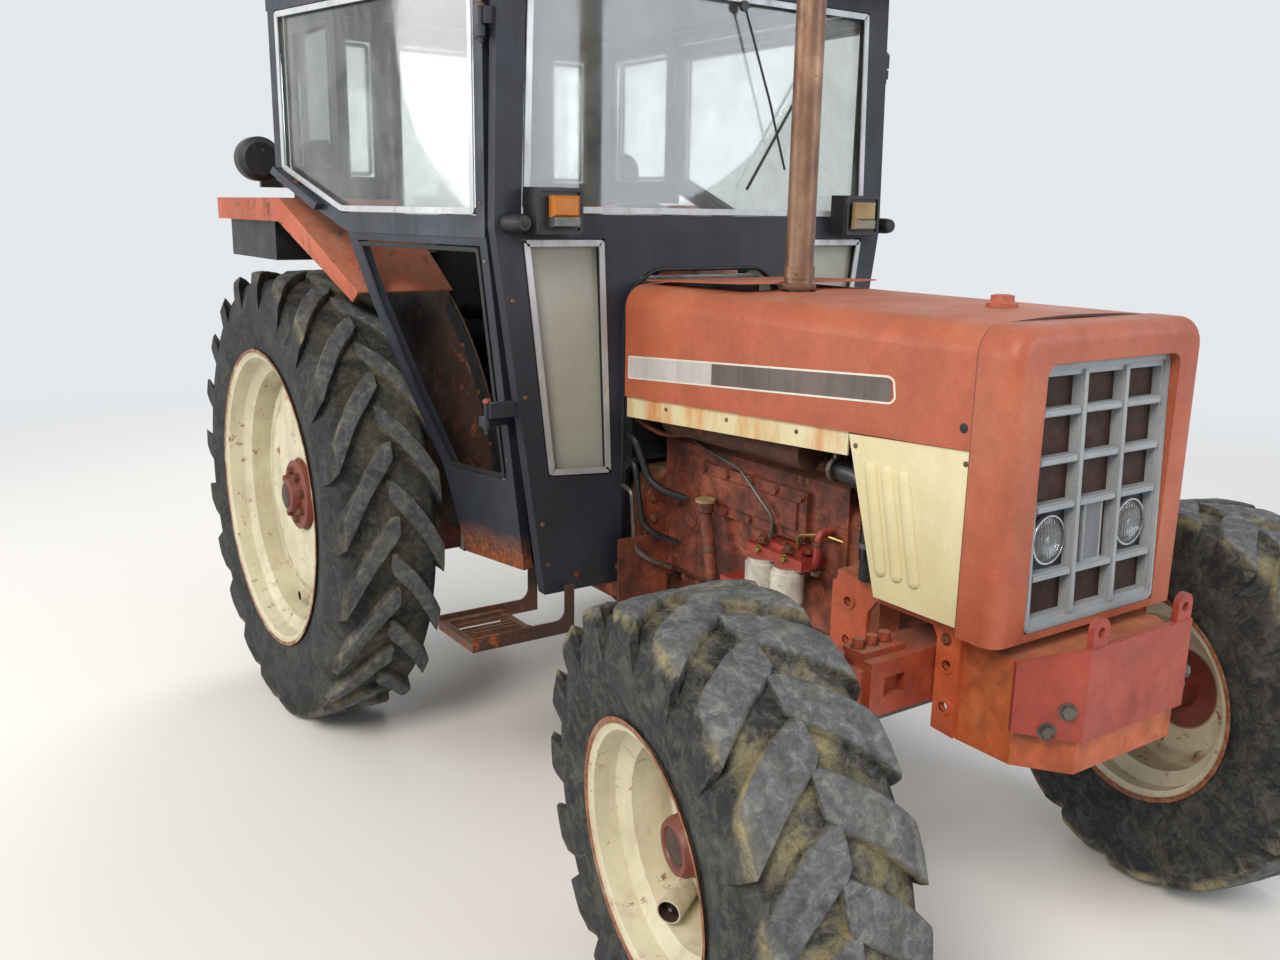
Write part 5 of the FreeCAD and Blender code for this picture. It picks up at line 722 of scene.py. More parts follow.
def rim_details(name, place, body, holes, radius, bolts, cap, valve, key_hub="hub"):
    """Hub cover with its bolts and greasy middle, and the cup round the tyre's valve."""
    piece = Piece(name)
    piece.turned(cap, key_hub, place, 40)
    end, core = cap[-1][0], cap[-2][1] - 0.004
    piece.turned([(end - 0.001, core), (end + 0.0015, core), (end + 0.0035, core - 0.006), (end + 0.0035, 0.012), (end + 0.005, 0.009), (end + 0.005, 0)],
                 "hub_core", place, 32)
    for index in range(bolts):
        a = 2 * math.pi * (index + 0.3) / bolts
        where = place @ Vector((holes, radius * math.cos(a), radius * math.sin(a)))
        piece.bolt(where, place.to_3x3() @ Vector((1, 0, 0)), 0.0135, "rusty_bolt", 0.016)
    foot, tall, wide, tilt = valve
    base = place @ Matrix.Translation(foot) @ Matrix.Rotation(math.radians(tilt), 4, "Z")
    piece.turned([(0, wide - 0.001), (tall - 0.003, wide), (tall, wide - 0.0015), (tall, wide - 0.0045)], "valve_cup", base, 28)
    piece.turned([(tall, wide - 0.0045), (tall - 0.030, wide - 0.0055), (tall - 0.030, 0)], "hub_core", base, 28)
    piece.tube([base @ Vector((tall - 0.030, 0, 0)), base @ Vector((tall - 0.008, 0, 0))], 0.0045, "steel", 8)
    return piece.done(body)


for name, side in SIDES:
    for key, place, dusty, top in (("rear_tyre_", rear_place(side), 0.5, 0.762), ("front_tyre_", front_place(side), 0.85, 0.5046)):
        M[key + name] = tyre_rubber(key + "rubber_" + name, dusty, place.translation, place.to_3x3() @ Vector((1, 0, 0)), top)
    place = rear_place(side)
    tyre_mesh("rear_tyre_round_" + name, side, place, 0.1715, 0.735, 0.762, 0.4856, 0.147, 0.612, 21, (0.078, 0.100), -20,
              "rear_wheel_" + name, "rear_tyre_" + name, "rear_tyre_" + name, 11 + side)
    rim_details("rear_hub_" + name, place, "rear_wheel_" + name, 0.060, 0.083, 8,
                [(0.048, 0.0), (0.048, 0.119), (0.056, 0.119), (0.060, 0.110), (0.060, 0.062), (0.086, 0.056), (0.092, 0.044), (0.092, 0.0)],
                ((0.015, -0.046, -0.382), 0.034, 0.022, 0))
    place = front_place(side)
    tyre_mesh("front_tyre_round_" + name, side, place, 0.1755, 0.484, 0.5046, 0.2596, 0.152, 0.366, 17, (0.102, 0.120), -18,
              "front_wheel_" + name, "front_tyre_" + name, "front_tyre_" + name, 23 + side)
    rim_details("front_hub_" + name, place, "front_wheel_" + name, 0.022, 0.080, 6,
                [(0.004, 0.0), (0.004, 0.103), (0.018, 0.103), (0.022, 0.098), (0.022, 0.066), (0.078, 0.062), (0.090, 0.055), (0.090, 0.044),
                 (0.0845, 0.041), (0.0845, 0.0)],
                ((0.002, -0.104, -0.165), 0.112, 0.028, 40))
    for node, place, ring, edge, hub, lip_wear in (("rear_rim_", rear_place(side), 0.345, 0.530, 0.129, 0.85),
                                                   ("front_rim_", front_place(side), 0.185, 0.324, 0.108, 0.25)):
        give(nodes[node + name], rim_paint(node + "paint_" + name, place.translation, ring, edge, hub, lip_wear))

# Bonnet, nose and grille

BONNET_REAR, BONNET_FRONT, BONNET_HALF, BONNET_TOP = 1.165, 2.392, 0.300, 1.545
NOSE_FRONT, NOSE_HALF = 2.490, 0.308
STRIP = [(1.182, 1.278), (2.172, 1.350), (2.186, 1.362), (2.180, 1.402), (2.164, 1.410), (1.182, 1.342)]
SILVER_END = 1.560


def strip_z(x, share):
    """Height on the decal strip, which rises towards the nose."""
    low = 1.278 + (x - 1.182) * (1.350 - 1.278) / 0.99
    high = 1.342 + (x - 1.182) * (1.410 - 1.342) / 0.982
    return low + share * (high - low)


trim = Piece("bonnet_trim")
for name, side in SIDES:
    face = side * BONNET_HALF
    near, far = sorted((face, face + side * 0.0014))
    outer = [(REAR_AXLE_X + x, z) for x, z in STRIP]
    trim.frame(outer, 0.0045, near, far, "strip_pale", "y", round_to=0.006)
    panel = [(REAR_AXLE_X + x, strip_z(x, s)) for x, s in ((SILVER_END, 0.07), (2.160, 0.07), (2.174, 0.25), (2.170, 0.8), (2.158, 0.93),
                                                          (SILVER_END, 0.93))]
    near, far = sorted((face, face + side * 0.0010))
    trim.prism(panel, near, far, "strip_dark", "y", bevel=0.0002)
    plain = [(REAR_AXLE_X + x, strip_z(x, s)) for x, s in ((1.187, 0.07), (SILVER_END, 0.07), (SILVER_END, 0.93), (1.187, 0.93))]
    trim.prism(plain, near, far, "strip_silver", "y", bevel=0.0002)
    # folded lower edge, the corner's rubber stop and the seam's shadow line
    low = [(BONNET_REAR + 0.002, 1.2262), (BONNET_FRONT - 0.003, 1.2897), (BONNET_FRONT - 0.003, 1.2957), (BONNET_REAR + 0.002, 1.2322)]
    near, far = sorted((face - side * 0.016, face + side * 0.0016))
    trim.prism([(REAR_AXLE_X + x, z) for x, z in low], near, far, "bonnet", "y", bevel=0.0006)
    trim.turned([(-0.004, 0.0), (-0.004, 0.010), (0.0008, 0.010), (0.0016, 0.007), (0.0016, 0.0)], "rubber",
                Matrix.Translation(at(BONNET_FRONT - 0.024, face, 1.332)) @ Matrix.Rotation(math.radians(90 * side), 4, "Z"), 18)
trim.done()

cap = Piece("cap_and_collar")
cap.turned([(0, 0.0), (0, 0.0338), (0.006, 0.0338), (0.009, 0.030), (0.009, 0.0)], "bonnet",
           Matrix.Translation(at(WHEELBASE - 0.05, 0, BONNET_TOP + 0.0003)) @ Matrix.Rotation(math.radians(-90), 4, "Y"), 36)
for index in range(8):
    a = 2 * math.pi * index / 8
    cap.box((-0.0065, -0.0034, 0.0), (0.0015, 0.0034, 0.016), "bonnet",
            Matrix.Translation(at(WHEELBASE - 0.05, 0, BONNET_TOP + 0.009)) @ Matrix.Rotation(a, 4, "Z") @ Matrix.Translation((0.0235, 0, 0)),
            bevel=0.0012)
cap.turned([(0, 0.0362), (0, 0.043), (0.004, 0.045), (0.012, 0.0445), (0.014, 0.0362)], "exhaust",
           Matrix.Translation(at(1.624, -0.08, BONNET_TOP + 0.003)) @ Matrix.Rotation(math.radians(-90), 4, "Y"), 40)
cap.turned([(0, 0.0362), (0, 0.0395), (0.030, 0.0395), (0.030, 0.0362)], "exhaust",
           Matrix.Translation(at(1.624, -0.08, BONNET_TOP + 0.030)) @ Matrix.Rotation(math.radians(-90), 4, "Y"), 40)
cap.done()

GRILLE_LOW, GRILLE_TOP, GRILLE_HALF = 0.924, 1.465, 0.218
GRILLE_BACK = NOSE_FRONT - 0.026
LEVELS = [0.521] + [0.541 * (1 - share) for share in (0.184, 0.362, 0.536, 0.795)] + [0.020]
COLUMN = 2 * (GRILLE_HALF - 0.013) / 3
lean = Matrix.Rotation(-math.atan2(0.022, 0.541), 4, "Y")
grille_place = Matrix.Translation(at(GRILLE_BACK, 0, GRILLE_LOW)) @ lean
lamp_level = 0.5 * (LEVELS[3] + LEVELS[4])

lamps = Piece("headlamp_parts")
for name, side in SIDES:
    base = grille_place @ Matrix.Translation((0, side * COLUMN, lamp_level))
    lamps.turned([(-0.0002, 0.0530), (0.009, 0.0530), (0.0125, 0.0510), (0.0125, 0.0475), (0.007, 0.0465), (-0.0002, 0.0465)], "chrome",
                 base, 40)
    lamps.turned([(0.0066, 0.0465), (0.0044, 0.037), (0.0024, 0.025), (0.0012, 0.013), (0.0008, 0.0)], "reflector", base, 40)
    lamps.turned([(0.0008, 0.008), (0.006, 0.007), (0.0066, 0.0)], "chrome", base, 20)
    lamps.turned([(0.0072, 0.0472), (0.0105, 0.040), (0.0128, 0.026), (0.0136, 0.012), (0.0138, 0.0)], "lens", base, 40)
    # dark cell round each lamp, in front of the screen: a thin black sheet as painted shade inside the cell
    half_wide, low, high = COLUMN / 2 - 0.006, LEVELS[4] + 0.004, LEVELS[3] - 0.004
    cell = [(side * COLUMN - half_wide, low), (side * COLUMN + half_wide, low), (side * COLUMN + half_wide, high), (side * COLUMN - half_wide, high)]
    lamps.prism(cell, -0.0012, 0.0003, "black", "x", grille_place, bevel=0.0004)
lamps.done(replaces=("headlamps",))

badge = Piece("grille_plaque_face")
badge.frame([(-0.029, LEVELS[4] + 0.006), (0.029, LEVELS[4] + 0.006), (0.029, LEVELS[3] - 0.006), (-0.029, LEVELS[3] - 0.006)],
            0.004, 0.0140, 0.0155, "grille", "x", grille_place, round_to=0.004)
badge.prism([(-0.024, LEVELS[4] + 0.012), (0.024, LEVELS[4] + 0.012), (0.024, LEVELS[3] - 0.012), (-0.024, LEVELS[3] - 0.012)],
            0.0138, 0.0148, "plaque", "x", grille_place, bevel=0.0004)
# raised beads on the front of the grille's bars
for level in LEVELS[1:-1]:
    for column in (-1, 0, 1):
        low, high = column * COLUMN - COLUMN / 2 + 0.010, column * COLUMN + COLUMN / 2 - 0.010
        badge.prism([(low, level - 0.0055), (high, level - 0.0055), (high, level + 0.0055), (low, level + 0.0055)],
                    0.0198, 0.0262, "grille", "x", grille_place, bevel=0.0022)
for column in (-0.5, 0.5):
    badge.prism([(column * COLUMN - 0.0058, 0.020), (column * COLUMN + 0.0058, 0.020), (column * COLUMN + 0.0058, 0.521),
                 (column * COLUMN - 0.0058, 0.521)], 0.0198, 0.0266, "grille", "x", grille_place, bevel=0.0024)
rim_line = [(-0.2177, 0.0003), (0.2177, 0.0003), (0.2177, 0.5407), (-0.2177, 0.5407)]
badge.frame(rim_line, 0.015, 0.0150, 0.0262, "grille", "x", grille_place, round_to=0.020)
badge.frame(shrink(rim_line, 0.004), 0.007, 0.0262, 0.0280, "grille", "x", grille_place, round_to=0.018)
badge.done()

def flute(piece, foot, top, wide, proud, face, side, key):
    """A rounded rib with round ends on an upright side panel, from its foot to its top, both (x, z)."""
    foot, top = Vector(foot), Vector(top)
    ahead = (top - foot).normalized()
    across = Vector((ahead.y, -ahead.x))
    long, end = (top - foot).length, wide / 2
    stops = [end * (1 - math.cos(math.radians(a))) for a in range(0, 91, 15)]
    stops += [long - stop for stop in reversed(stops)]
    count = 12
    corners, faces = [], []
    for stop in stops:
        left = min(stop, long - stop, end)
        share = math.sqrt(max(1 - ((end - left) / end) ** 2, 0.0004))
        for index in range(count + 1):
            a = math.pi * index / count
            spot = foot + ahead * stop + across * (math.cos(a) * end * share)
            corners.append(at(spot.x, face + side * (proud * share * math.sin(a) - 0.0004), spot.y))
    for row in range(len(stops) - 1):
        for index in range(count):
            first = row * (count + 1) + index
            faces.append([first, first + 1, first + count + 2, first + count + 1])
    piece.add(corners, faces, key)


panel_parts = Piece("side_panel_edges")
for name, side in SIDES:
    face = side * (BONNET_HALF - 0.003)
    for index in range(3):
        shift = BONNET_FRONT - 0.280 + 0.048 * index
        flute(panel_parts, (shift + 0.0618, 0.972), (shift + 0.0080, 1.219), 0.034, 0.0094, face, side, "cream_panel")
    for (x, z) in ((2.075, 1.245), (2.378, 1.262)):
        panel_parts.bolt(at(x, face, z), (0, side, 0), 0.006, "bolt", 0.0025, washer=False)
    for x in (1.36, 1.62, 1.88):
        z = 1.226 + (x - 1.165) * 0.052
        panel_parts.bolt(at(x, side * (BONNET_HALF - 0.0052), z - 0.020), (0, side, 0), 0.006, "bolt", 0.0025, washer=False)
panel_parts.done()

# Front support, rails, bracket and axle: heads, nuts and the clamp plates' bolts

front = Piece("front_bolts")
axle = Piece("axle_bolts")
for name, side in SIDES:
    face = side * (0.240 + 0.0003 + 0.014)
    for x, z in ((2.040, 0.870), (2.040, 0.777), (2.337, 0.817), (2.337, 0.723)):
        front.turned([(0.0, 0.0112), (0.0, 0.019), (0.0035, 0.019), (0.0035, 0.0112)], "rail",
                     Matrix.Translation(at(x, face, z)) @ Matrix.Rotation(math.radians(90 * side), 4, "Z"), 24)
    for x, z in ((2.330, 0.872), (2.012, 0.700), (2.066, 0.700)):
        front.bolt(at(x, face, z), (0, side, 0), 0.0105, "rusty_bolt")
    for index in range(3):
        axle.bolt(at(WHEELBASE - 0.005, side * (0.345 + 0.038 * index), 0.8593), (0, 0, 1), 0.0125, "rusty_bolt", 0.009)
    axle.turned([(0, 0.0), (0, 0.030), (0.010, 0.030), (0.014, 0.024), (0.014, 0.0)], "axle",
                 Matrix.Translation(at(WHEELBASE, side * KINGPIN_Y, 0.875)) @ Matrix.Rotation(math.radians(-90), 4, "Y"), 28)
    wing = Vector((-0.090, side * 0.101, 0)).normalized()
    out = Vector((abs(wing.y), side * abs(wing.x), 0))
    for share, z in ((0.24, 0.796), (0.50, 0.752)):
        base = Vector(at(2.6143, side * 0.172, z)) + Vector((-0.090, side * 0.104, 0)) * share
        front.bolt(base, out, 0.0140, "steel", 0.014)
front.done()
axle.done("front_axle")

# Cab: rubbers and trims of the windows, seals, hinges, lamps and the wiper

CAB_FRONT, CAB_REAR, CAB_HALF, WAIST, CAB_TOP = 1.140, -0.450, 0.690, 1.690, 2.400
SCREEN = mirrored([(0.612, 1.722), (0.592, 2.330)])
QUARTER = [(0.355, 1.660), (0.612, 1.660), (0.534, 1.014), (0.325, 1.000)]
REAR_WINDOW = mirrored([(0.280, 1.560), (0.280, 2.320)])
REAR_QUARTER = [(0.380, 1.840), (0.540, 1.840), (0.540, 2.320), (0.380, 2.320)]
SIDE_WINDOW = [(-0.3797, 1.850), (-0.010, 1.850), (-0.010, 2.330), (-0.3797, 2.330)]


def across(points, side=1):
    return [(side * y, z) for y, z in points]


cab = Piece("cab_trims")
wide = 0.017
for loop in [SCREEN] + [across(QUARTER, side) for name, side in SIDES]:
    grown = shrink(loop, -0.004)
    cab.frame(grown, wide, REAR_AXLE_X + CAB_FRONT, REAR_AXLE_X + CAB_FRONT + 0.0045, "silver", "x", round_to=0.012)
    cab.frame(shrink(loop, 0.0115), 0.006, REAR_AXLE_X + CAB_FRONT - 0.018, REAR_AXLE_X + CAB_FRONT + 0.003, "rubber", "x", round_to=0.012)
for loop in [REAR_WINDOW] + [across(REAR_QUARTER, side) for name, side in SIDES]:
    cab.frame(shrink(loop, -0.004), 0.015, REAR_AXLE_X + CAB_REAR - 0.0040, REAR_AXLE_X + CAB_REAR, "rubber", "x", round_to=0.020)
for name, side in SIDES:
    low, high = sorted((side * CAB_HALF, side * (CAB_HALF + 0.004)))
    cab.frame(shrink([(REAR_AXLE_X + x, z) for x, z in SIDE_WINDOW], -0.004), 0.015, low, high, "rubber", "y", round_to=0.020)
# seam bolts along the front wall and the arch's rubber over the bonnet
for name, side in SIDES:
    for z in (0.76, 0.88, 1.24, 1.50):
        y = side * (0.545 + (0.690 - 0.545) * (z - 0.672) / 1.018 - 0.022)
        cab.bolt(at(CAB_FRONT, y, z), (1, 0, 0), 0.007, "bolt", 0.004, washer=False)
    for y in (0.30, 0.44):
        cab.bolt(at(CAB_FRONT, side * y, 0.715), (1, 0, 0), 0.008, "rusty_bolt", 0.005)
arch = [(0.291, 0.98), (0.291, 1.432)] + [(0.262 + 0.0 * k, 1.53) for k in (0,)] + [(0.188, 1.574)]
cab.tube([at(CAB_FRONT + 0.003, y, z) for y, z in arch] + [at(CAB_FRONT + 0.003, -y, z) for y, z in reversed(arch)], 0.0055, "rubber", 8)
cab.done()

sides = Piece("cab_front_details")
for name, side in SIDES:
    # indicator box: hood and lens
    y = side * 0.5325
    low, high = sorted((side * 0.492, side * 0.573))
    sides.box((REAR_AXLE_X + CAB_FRONT + 0.0995, low + 0.002, 1.694), (REAR_AXLE_X + CAB_FRONT + 0.1001, high - 0.002, 1.716), "lens", bevel=0.0002)
    sides.frame([(side * 0.470, 1.672), (side * 0.610, 1.672), (side * 0.610, 1.790), (side * 0.470, 1.790)], 0.010,
                REAR_AXLE_X + CAB_FRONT + 0.070, REAR_AXLE_X + CAB_FRONT + 0.076, "black", "x", round_to=0.012)
    sides.turned([(0, 0.0), (0, 0.026), (0.010, 0.026), (0.014, 0.024), (0.070, 0.0235), (0.086, 0.020), (0.090, 0.012), (0.090, 0.0)],
                 "rubber", Matrix.Translation(at(CAB_FRONT + 0.0003, side * 0.650, 1.700)), 26)
    # hinges: knuckles with their pins
    for z in (1.160, 2.150):
        sides.turned([(0, 0.0), (0, 0.0100), (0.006, 0.0105), (0.010, 0.006), (0.010, 0.0)], "red_hinge" if z < 1.5 and side < 0 else "bolt",
                     Matrix.Translation(at(1.108, side * 0.704, z + 0.070)) @ Matrix.Rotation(math.radians(-90), 4, "Y"), 18)
wiper = [at(CAB_FRONT + 0.006, 0.10, 2.300), at(CAB_FRONT + 0.012, 0.20, 2.05), at(CAB_FRONT + 0.010, 0.27, 1.86)]
sides.tube(wiper, 0.0035, "black", 8)
sides.tube([at(CAB_FRONT + 0.007, 0.13, 1.80), at(CAB_FRONT + 0.007, 0.37, 2.16)], 0.0045, "rubber", 8)
sides.turned([(0, 0.0), (0, 0.016), (0.010, 0.014), (0.010, 0.0)], "black", Matrix.Translation(at(CAB_FRONT, 0.10, 2.300)), 18)
sides.done()

amber = Piece("indicator_lenses")
for name, side in SIDES:
    low, high = sorted((side * 0.490, side * 0.575))
    key = "amber" if side < 0 else "wood"
    amber.box((REAR_AXLE_X + CAB_FRONT + 0.0702, low, 1.716), (REAR_AXLE_X + CAB_FRONT + 0.1000, high, 1.770), key, bevel=0.009)
    amber.box((REAR_AXLE_X + CAB_FRONT + 0.0702, low, 1.690), (REAR_AXLE_X + CAB_FRONT + 0.0985, high, 1.716), "lens" if side < 0 else "wood", bevel=0.007)
    low, high = sorted((side * 0.470, side * 0.610))
    amber.box((REAR_AXLE_X + CAB_FRONT + 0.0003, low, 1.672), (REAR_AXLE_X + CAB_FRONT + 0.0702, high, 1.790), "black", bevel=0.005)
    amber.turned([(0, 0.0), (0, 0.021), (0.08, 0.021), (0.0897, 0.017), (0.0897, 0.0)], "black",
                 Matrix.Translation(at(CAB_FRONT + 0.0003, side * 0.650, 1.700)), 24)
amber.done(replaces=("indicator_lamps",))

# Doors: silver rubbers around the panes, seals and the catch; built closed, then carried to where each door is parked

DOOR_LOW = [(-0.044, 1.640), (-0.620, 1.640), (-0.554, 1.463), (-0.431, 1.217), (-0.302, 0.990), (-0.044, 0.990)]
DOOR_TOP = [(-0.050, 1.715), (-0.690, 1.715), (-1.022, 1.842), (-1.022, 2.312), (-0.050, 2.312)]
DOOR_EDGE = [(-0.016, 1.679), (-0.660, 1.679), (-1.0615, 1.812), (-1.0615, 2.347), (-0.016, 2.347)]
for name, side in SIDES:
    ajar = 12.0 if side < 0 else 0.0
    hang = Matrix.Translation(at(1.108, side * 0.704, 0)) @ Matrix.Rotation(math.radians(-side * ajar), 4, "Z")
    tilt = (hang @ Matrix.Translation((0, -side * 0.030, WAIST)) @ Matrix.Rotation(math.radians(-side * 7.4), 4, "X")
            @ Matrix.Translation((0, 0, -WAIST)))
    flat = hang @ Matrix.Translation((0, -side * 0.030, 0))
    door = Piece("door_trims_" + name)
    for outward in (1, -1):
        low, high = sorted((side * outward * 0.016, side * outward * 0.0195))
        key = "silver" if outward > 0 else "rubber"
        door.frame(shrink(DOOR_TOP, -0.004), 0.017, low, high, key, "y", flat, round_to=0.014)
        if side > 0 or outward > 0:
            door.frame(shrink(DOOR_LOW, -0.004), 0.012, low, high, "rubber", "y", tilt, round_to=0.014)
    catch = flat @ Matrix.Translation((-0.965, side * 0.016, 1.800))
    low, high = sorted((0.0, side * 0.018))
    door.prism([(-0.030, -0.012), (0.050, -0.020), (0.052, 0.006), (-0.026, 0.014)], low, high, "rusty_bolt", "y", catch, bevel=0.003)
    door.bolt(flat @ Vector((-0.930, side * 0.034, 1.792)), hang.to_3x3() @ Vector((0, side, 0)), 0.008, "rusty_bolt", 0.006, washer=False)
    for x, z in ((-0.030, 1.75), (-0.030, 2.28), (-0.030, 1.60), (-0.030, 1.05), (-0.030, 0.80)):
        where = (flat if z > WAIST else tilt) @ Vector((x, side * 0.016, z))
        door.bolt(where, hang.to_3x3() @ Vector((0, side, 0)), 0.005, "bolt", 0.003, washer=False)
    door.done("door_" + name)

# Engine bay and the right side's small parts

BLOCK_HALF, BLOCK_REAR, BLOCK_FRONT = 0.160, 1.180, 1.930
engine = Piece("engine_fasteners")
for name, side in SIDES:
    for index in range(11):
        x = BLOCK_REAR + 0.030 + index * 0.069
        engine.bolt(at(x, side * BLOCK_HALF, 0.702), (0, side, 0), 0.0085, "rusty_bolt", 0.006, washer=False)
    for index in range(7):
        engine.bolt(at(BLOCK_REAR + 0.060 + index * 0.104, side * 0.118, 1.235), (0, 0, 1), 0.0120, "rusty_bolt", 0.012)
    for index in range(3):
        x = BLOCK_REAR + 0.130 + index * 0.240
        engine.turned([(0, 0.0), (0, 0.024), (0.003, 0.024), (0.0045, 0.020), (0.003, 0.018), (0.003, 0.0)], "engine",
                      Matrix.Translation(at(x, side * BLOCK_HALF, 0.880)) @ Matrix.Rotation(math.radians(90 * side), 4, "Z"), 26)
# bolts of the tappet cover
cover_y = -(BLOCK_HALF + 0.0003 + 0.016)
for x in (1.382, 1.484, 1.585, 1.686, 1.788):
    for z in (0.942, 1.052):
        engine.bolt(at(x, cover_y, z), (0, -1, 0), 0.0085, "rusty_bolt", 0.007)
# nuts on the manifold's flanges
for index, x in enumerate((1.340, 1.500, 1.640, 1.800)):
    for dx in (-0.030, 0.030):
        engine.bolt(at(x + dx, -0.1625, 1.175), (0, -1, 0), 0.0095, "rusty_bolt", 0.012, washer=False)
# filter head: bleed screws and unions
for x in (1.702, 1.800):
    engine.bolt(at(x, -0.230, 0.924), (0, 0, 1), 0.013, "rusty_bolt", 0.014)
    engine.bolt(at(x, -0.240, 0.905), (0, -1, 0), 0.009, "brass", 0.010)
engine.bolt(at(1.600, -0.236, 0.788), (0, -1, 0), 0.010, "rusty_bolt", 0.008)
for x in (1.670, 1.752, 1.842):
    engine.bolt(at(x, -0.200, 0.924), (0, 0, 1), 0.0085, "rusty_bolt", 0.008)
engine.done()

# bell housing and gearbox: flange bolts and cover plates
housing = Piece("transmission_fasteners")
for name, side in SIDES:
    for z in (0.62, 0.70, 0.78, 0.86, 0.92):
        housing.bolt(at(1.1795, side * 0.206, z), (1, 0, 0), 0.011, "rusty_bolt", 0.010)
    for x in (0.250, 0.360, 0.470):
        housing.bolt(at(x, side * 0.1852, 0.560), (0, side, 0), 0.010, "rusty_bolt", 0.007)
        housing.bolt(at(x, side * 0.1852, 0.880), (0, side, 0), 0.010, "rusty_bolt", 0.007)
    loop = [(REAR_AXLE_X + x, z) for x, z in ((0.590, 0.640), (0.800, 0.640), (0.800, 0.800), (0.590, 0.800))]
    low, high = sorted((side * 0.1848, side * 0.1925))
    housing.prism(loop, low, high, "housing", "y", bevel=0.003)
    for x in (0.606, 0.695, 0.784):
        for z in (0.655, 0.785):
            housing.bolt(at(x, side * 0.1925, z), (0, side, 0), 0.0085, "rusty_bolt", 0.006)
housing.done()

# radiator: clamps of the hose, fins of the core
radiator = Piece("radiator_fins")
for index in range(41):
    y = -0.205 + index * 0.01025
    radiator.prism([(REAR_AXLE_X + 2.1648, y - 0.0008), (REAR_AXLE_X + 2.1668, y - 0.0008), (REAR_AXLE_X + 2.1668, y + 0.0008),
                    (REAR_AXLE_X + 2.1648, y + 0.0008)], 0.990, 1.415, "radiator", "z", bevel=0.0002)
for centre, direction in (((1.978, -0.255, 1.168), (1, 0, 0)), ((2.100, -0.255, 1.020), (0, 0, 1)), ((1.950, -0.196, 1.168), (0, -1, 0))):
    turn = Vector(direction).to_track_quat("X", "Z").to_matrix().to_4x4()
    place = Matrix.Translation(at(*centre)) @ turn
    radiator.turned([(-0.006, 0.0274), (-0.006, 0.0292), (0.006, 0.0292), (0.006, 0.0274)], "steel", place, 30)
    radiator.box((-0.005, -0.009, 0.027), (0.005, 0.009, 0.036), "bolt", place, bevel=0.0015)
radiator.done()

pipes = Piece("engine_pipes")
# fuel line from the filter head, oil filler's cap ring and clamp, breather
pipes.tube([at(1.700, -0.200, 0.925), at(1.700, -0.200, 0.985), at(1.560, -0.196, 1.080), at(1.400, -0.180, 1.100), at(1.300, -0.150, 1.105)],
           0.0045, "steel", 8)
pipes.tube([at(1.800, -0.200, 0.925), at(1.800, -0.200, 0.960), at(1.870, -0.185, 0.975), at(1.925, -0.150, 0.960)], 0.0045, "brass", 8)
# heater and lift pipes between the cab's front wall and the engine
for start, low, end, radius, key in (((1.1405, -0.275, 1.110), (1.215, -0.245, 0.985), (1.300, -0.175, 0.940), 0.011, "rubber"),
                                     ((1.1405, -0.275, 1.040), (1.205, -0.262, 0.860), (1.260, -0.172, 0.800), 0.009, "rubber"),
                                     ((1.1405, -0.240, 1.150), (1.235, -0.215, 1.120), (1.330, -0.150, 1.130), 0.008, "engine"),
                                     ((1.1405, -0.285, 0.960), (1.190, -0.275, 0.780), (1.235, -0.175, 0.720), 0.007, "steel")):
    middle = [0.5 * (a + b) for a, b in zip(low, end)]
    pipes.tube([at(*start), at(start[0] + 0.045, start[1], start[2] - 0.01), at(*low), at(middle[0], middle[1] - 0.02, middle[2]), at(*end)],
               radius, key, 10)
# a low coolant pipe under the manifold
pipes.tube([at(1.880, -0.1605, 0.985), at(1.880, -0.205, 0.985), at(1.880, -0.210, 0.900), at(1.800, -0.172, 0.860)], 0.0105, "filter_head", 12)
for z in (0.885, 0.960):
    pipes.turned([(-0.005, 0.0106), (-0.005, 0.0135), (0.005, 0.0135), (0.005, 0.0106)], "bolt",
                 Matrix.Translation(at(1.880, -0.209, z)) @ Matrix.Rotation(math.radians(90), 4, "Y"), 18)
pipes.turned([(0, 0.0), (0, 0.0275), (0.008, 0.0275), (0.008, 0.0)], "tan", Matrix.Translation(at(1.447, -0.220, 0.9700)) @
             Matrix.Rotation(math.radians(-90), 4, "Y"), 28)
pipes.turned([(0, 0.0172), (0, 0.0205), (0.012, 0.0205), (0.012, 0.0172)], "bolt",
             Matrix.Translation(at(1.4705, -0.220, 0.8360)) @ (Vector((-0.045, 0, 0.212)).to_track_quat("X", "Z").to_matrix().to_4x4()), 24)
for x in (1.700, 1.800):
    pipes.turned([(0, 0.0), (0, 0.020), (0.004, 0.020), (0.010, 0.012), (0.010, 0.0)], "rusty_bolt",
                 Matrix.Translation(at(x, -0.230, 0.778)) @ Matrix.Rotation(math.radians(90), 4, "Y"), 24)
pipes.done()

# front of the engine: fan bolts
nose_parts = Piece("fan_fasteners")
for index in range(4):
    a = math.pi / 4 + index * math.pi / 2
    nose_parts.bolt(at(2.020, 0.030 * math.cos(a), 1.070 + 0.030 * math.sin(a)), (1, 0, 0), 0.007, "bolt", 0.006, washer=False)
nose_parts_object = nose_parts.done()

# Cab inside: sewn cushions, gauges, levers and pedals

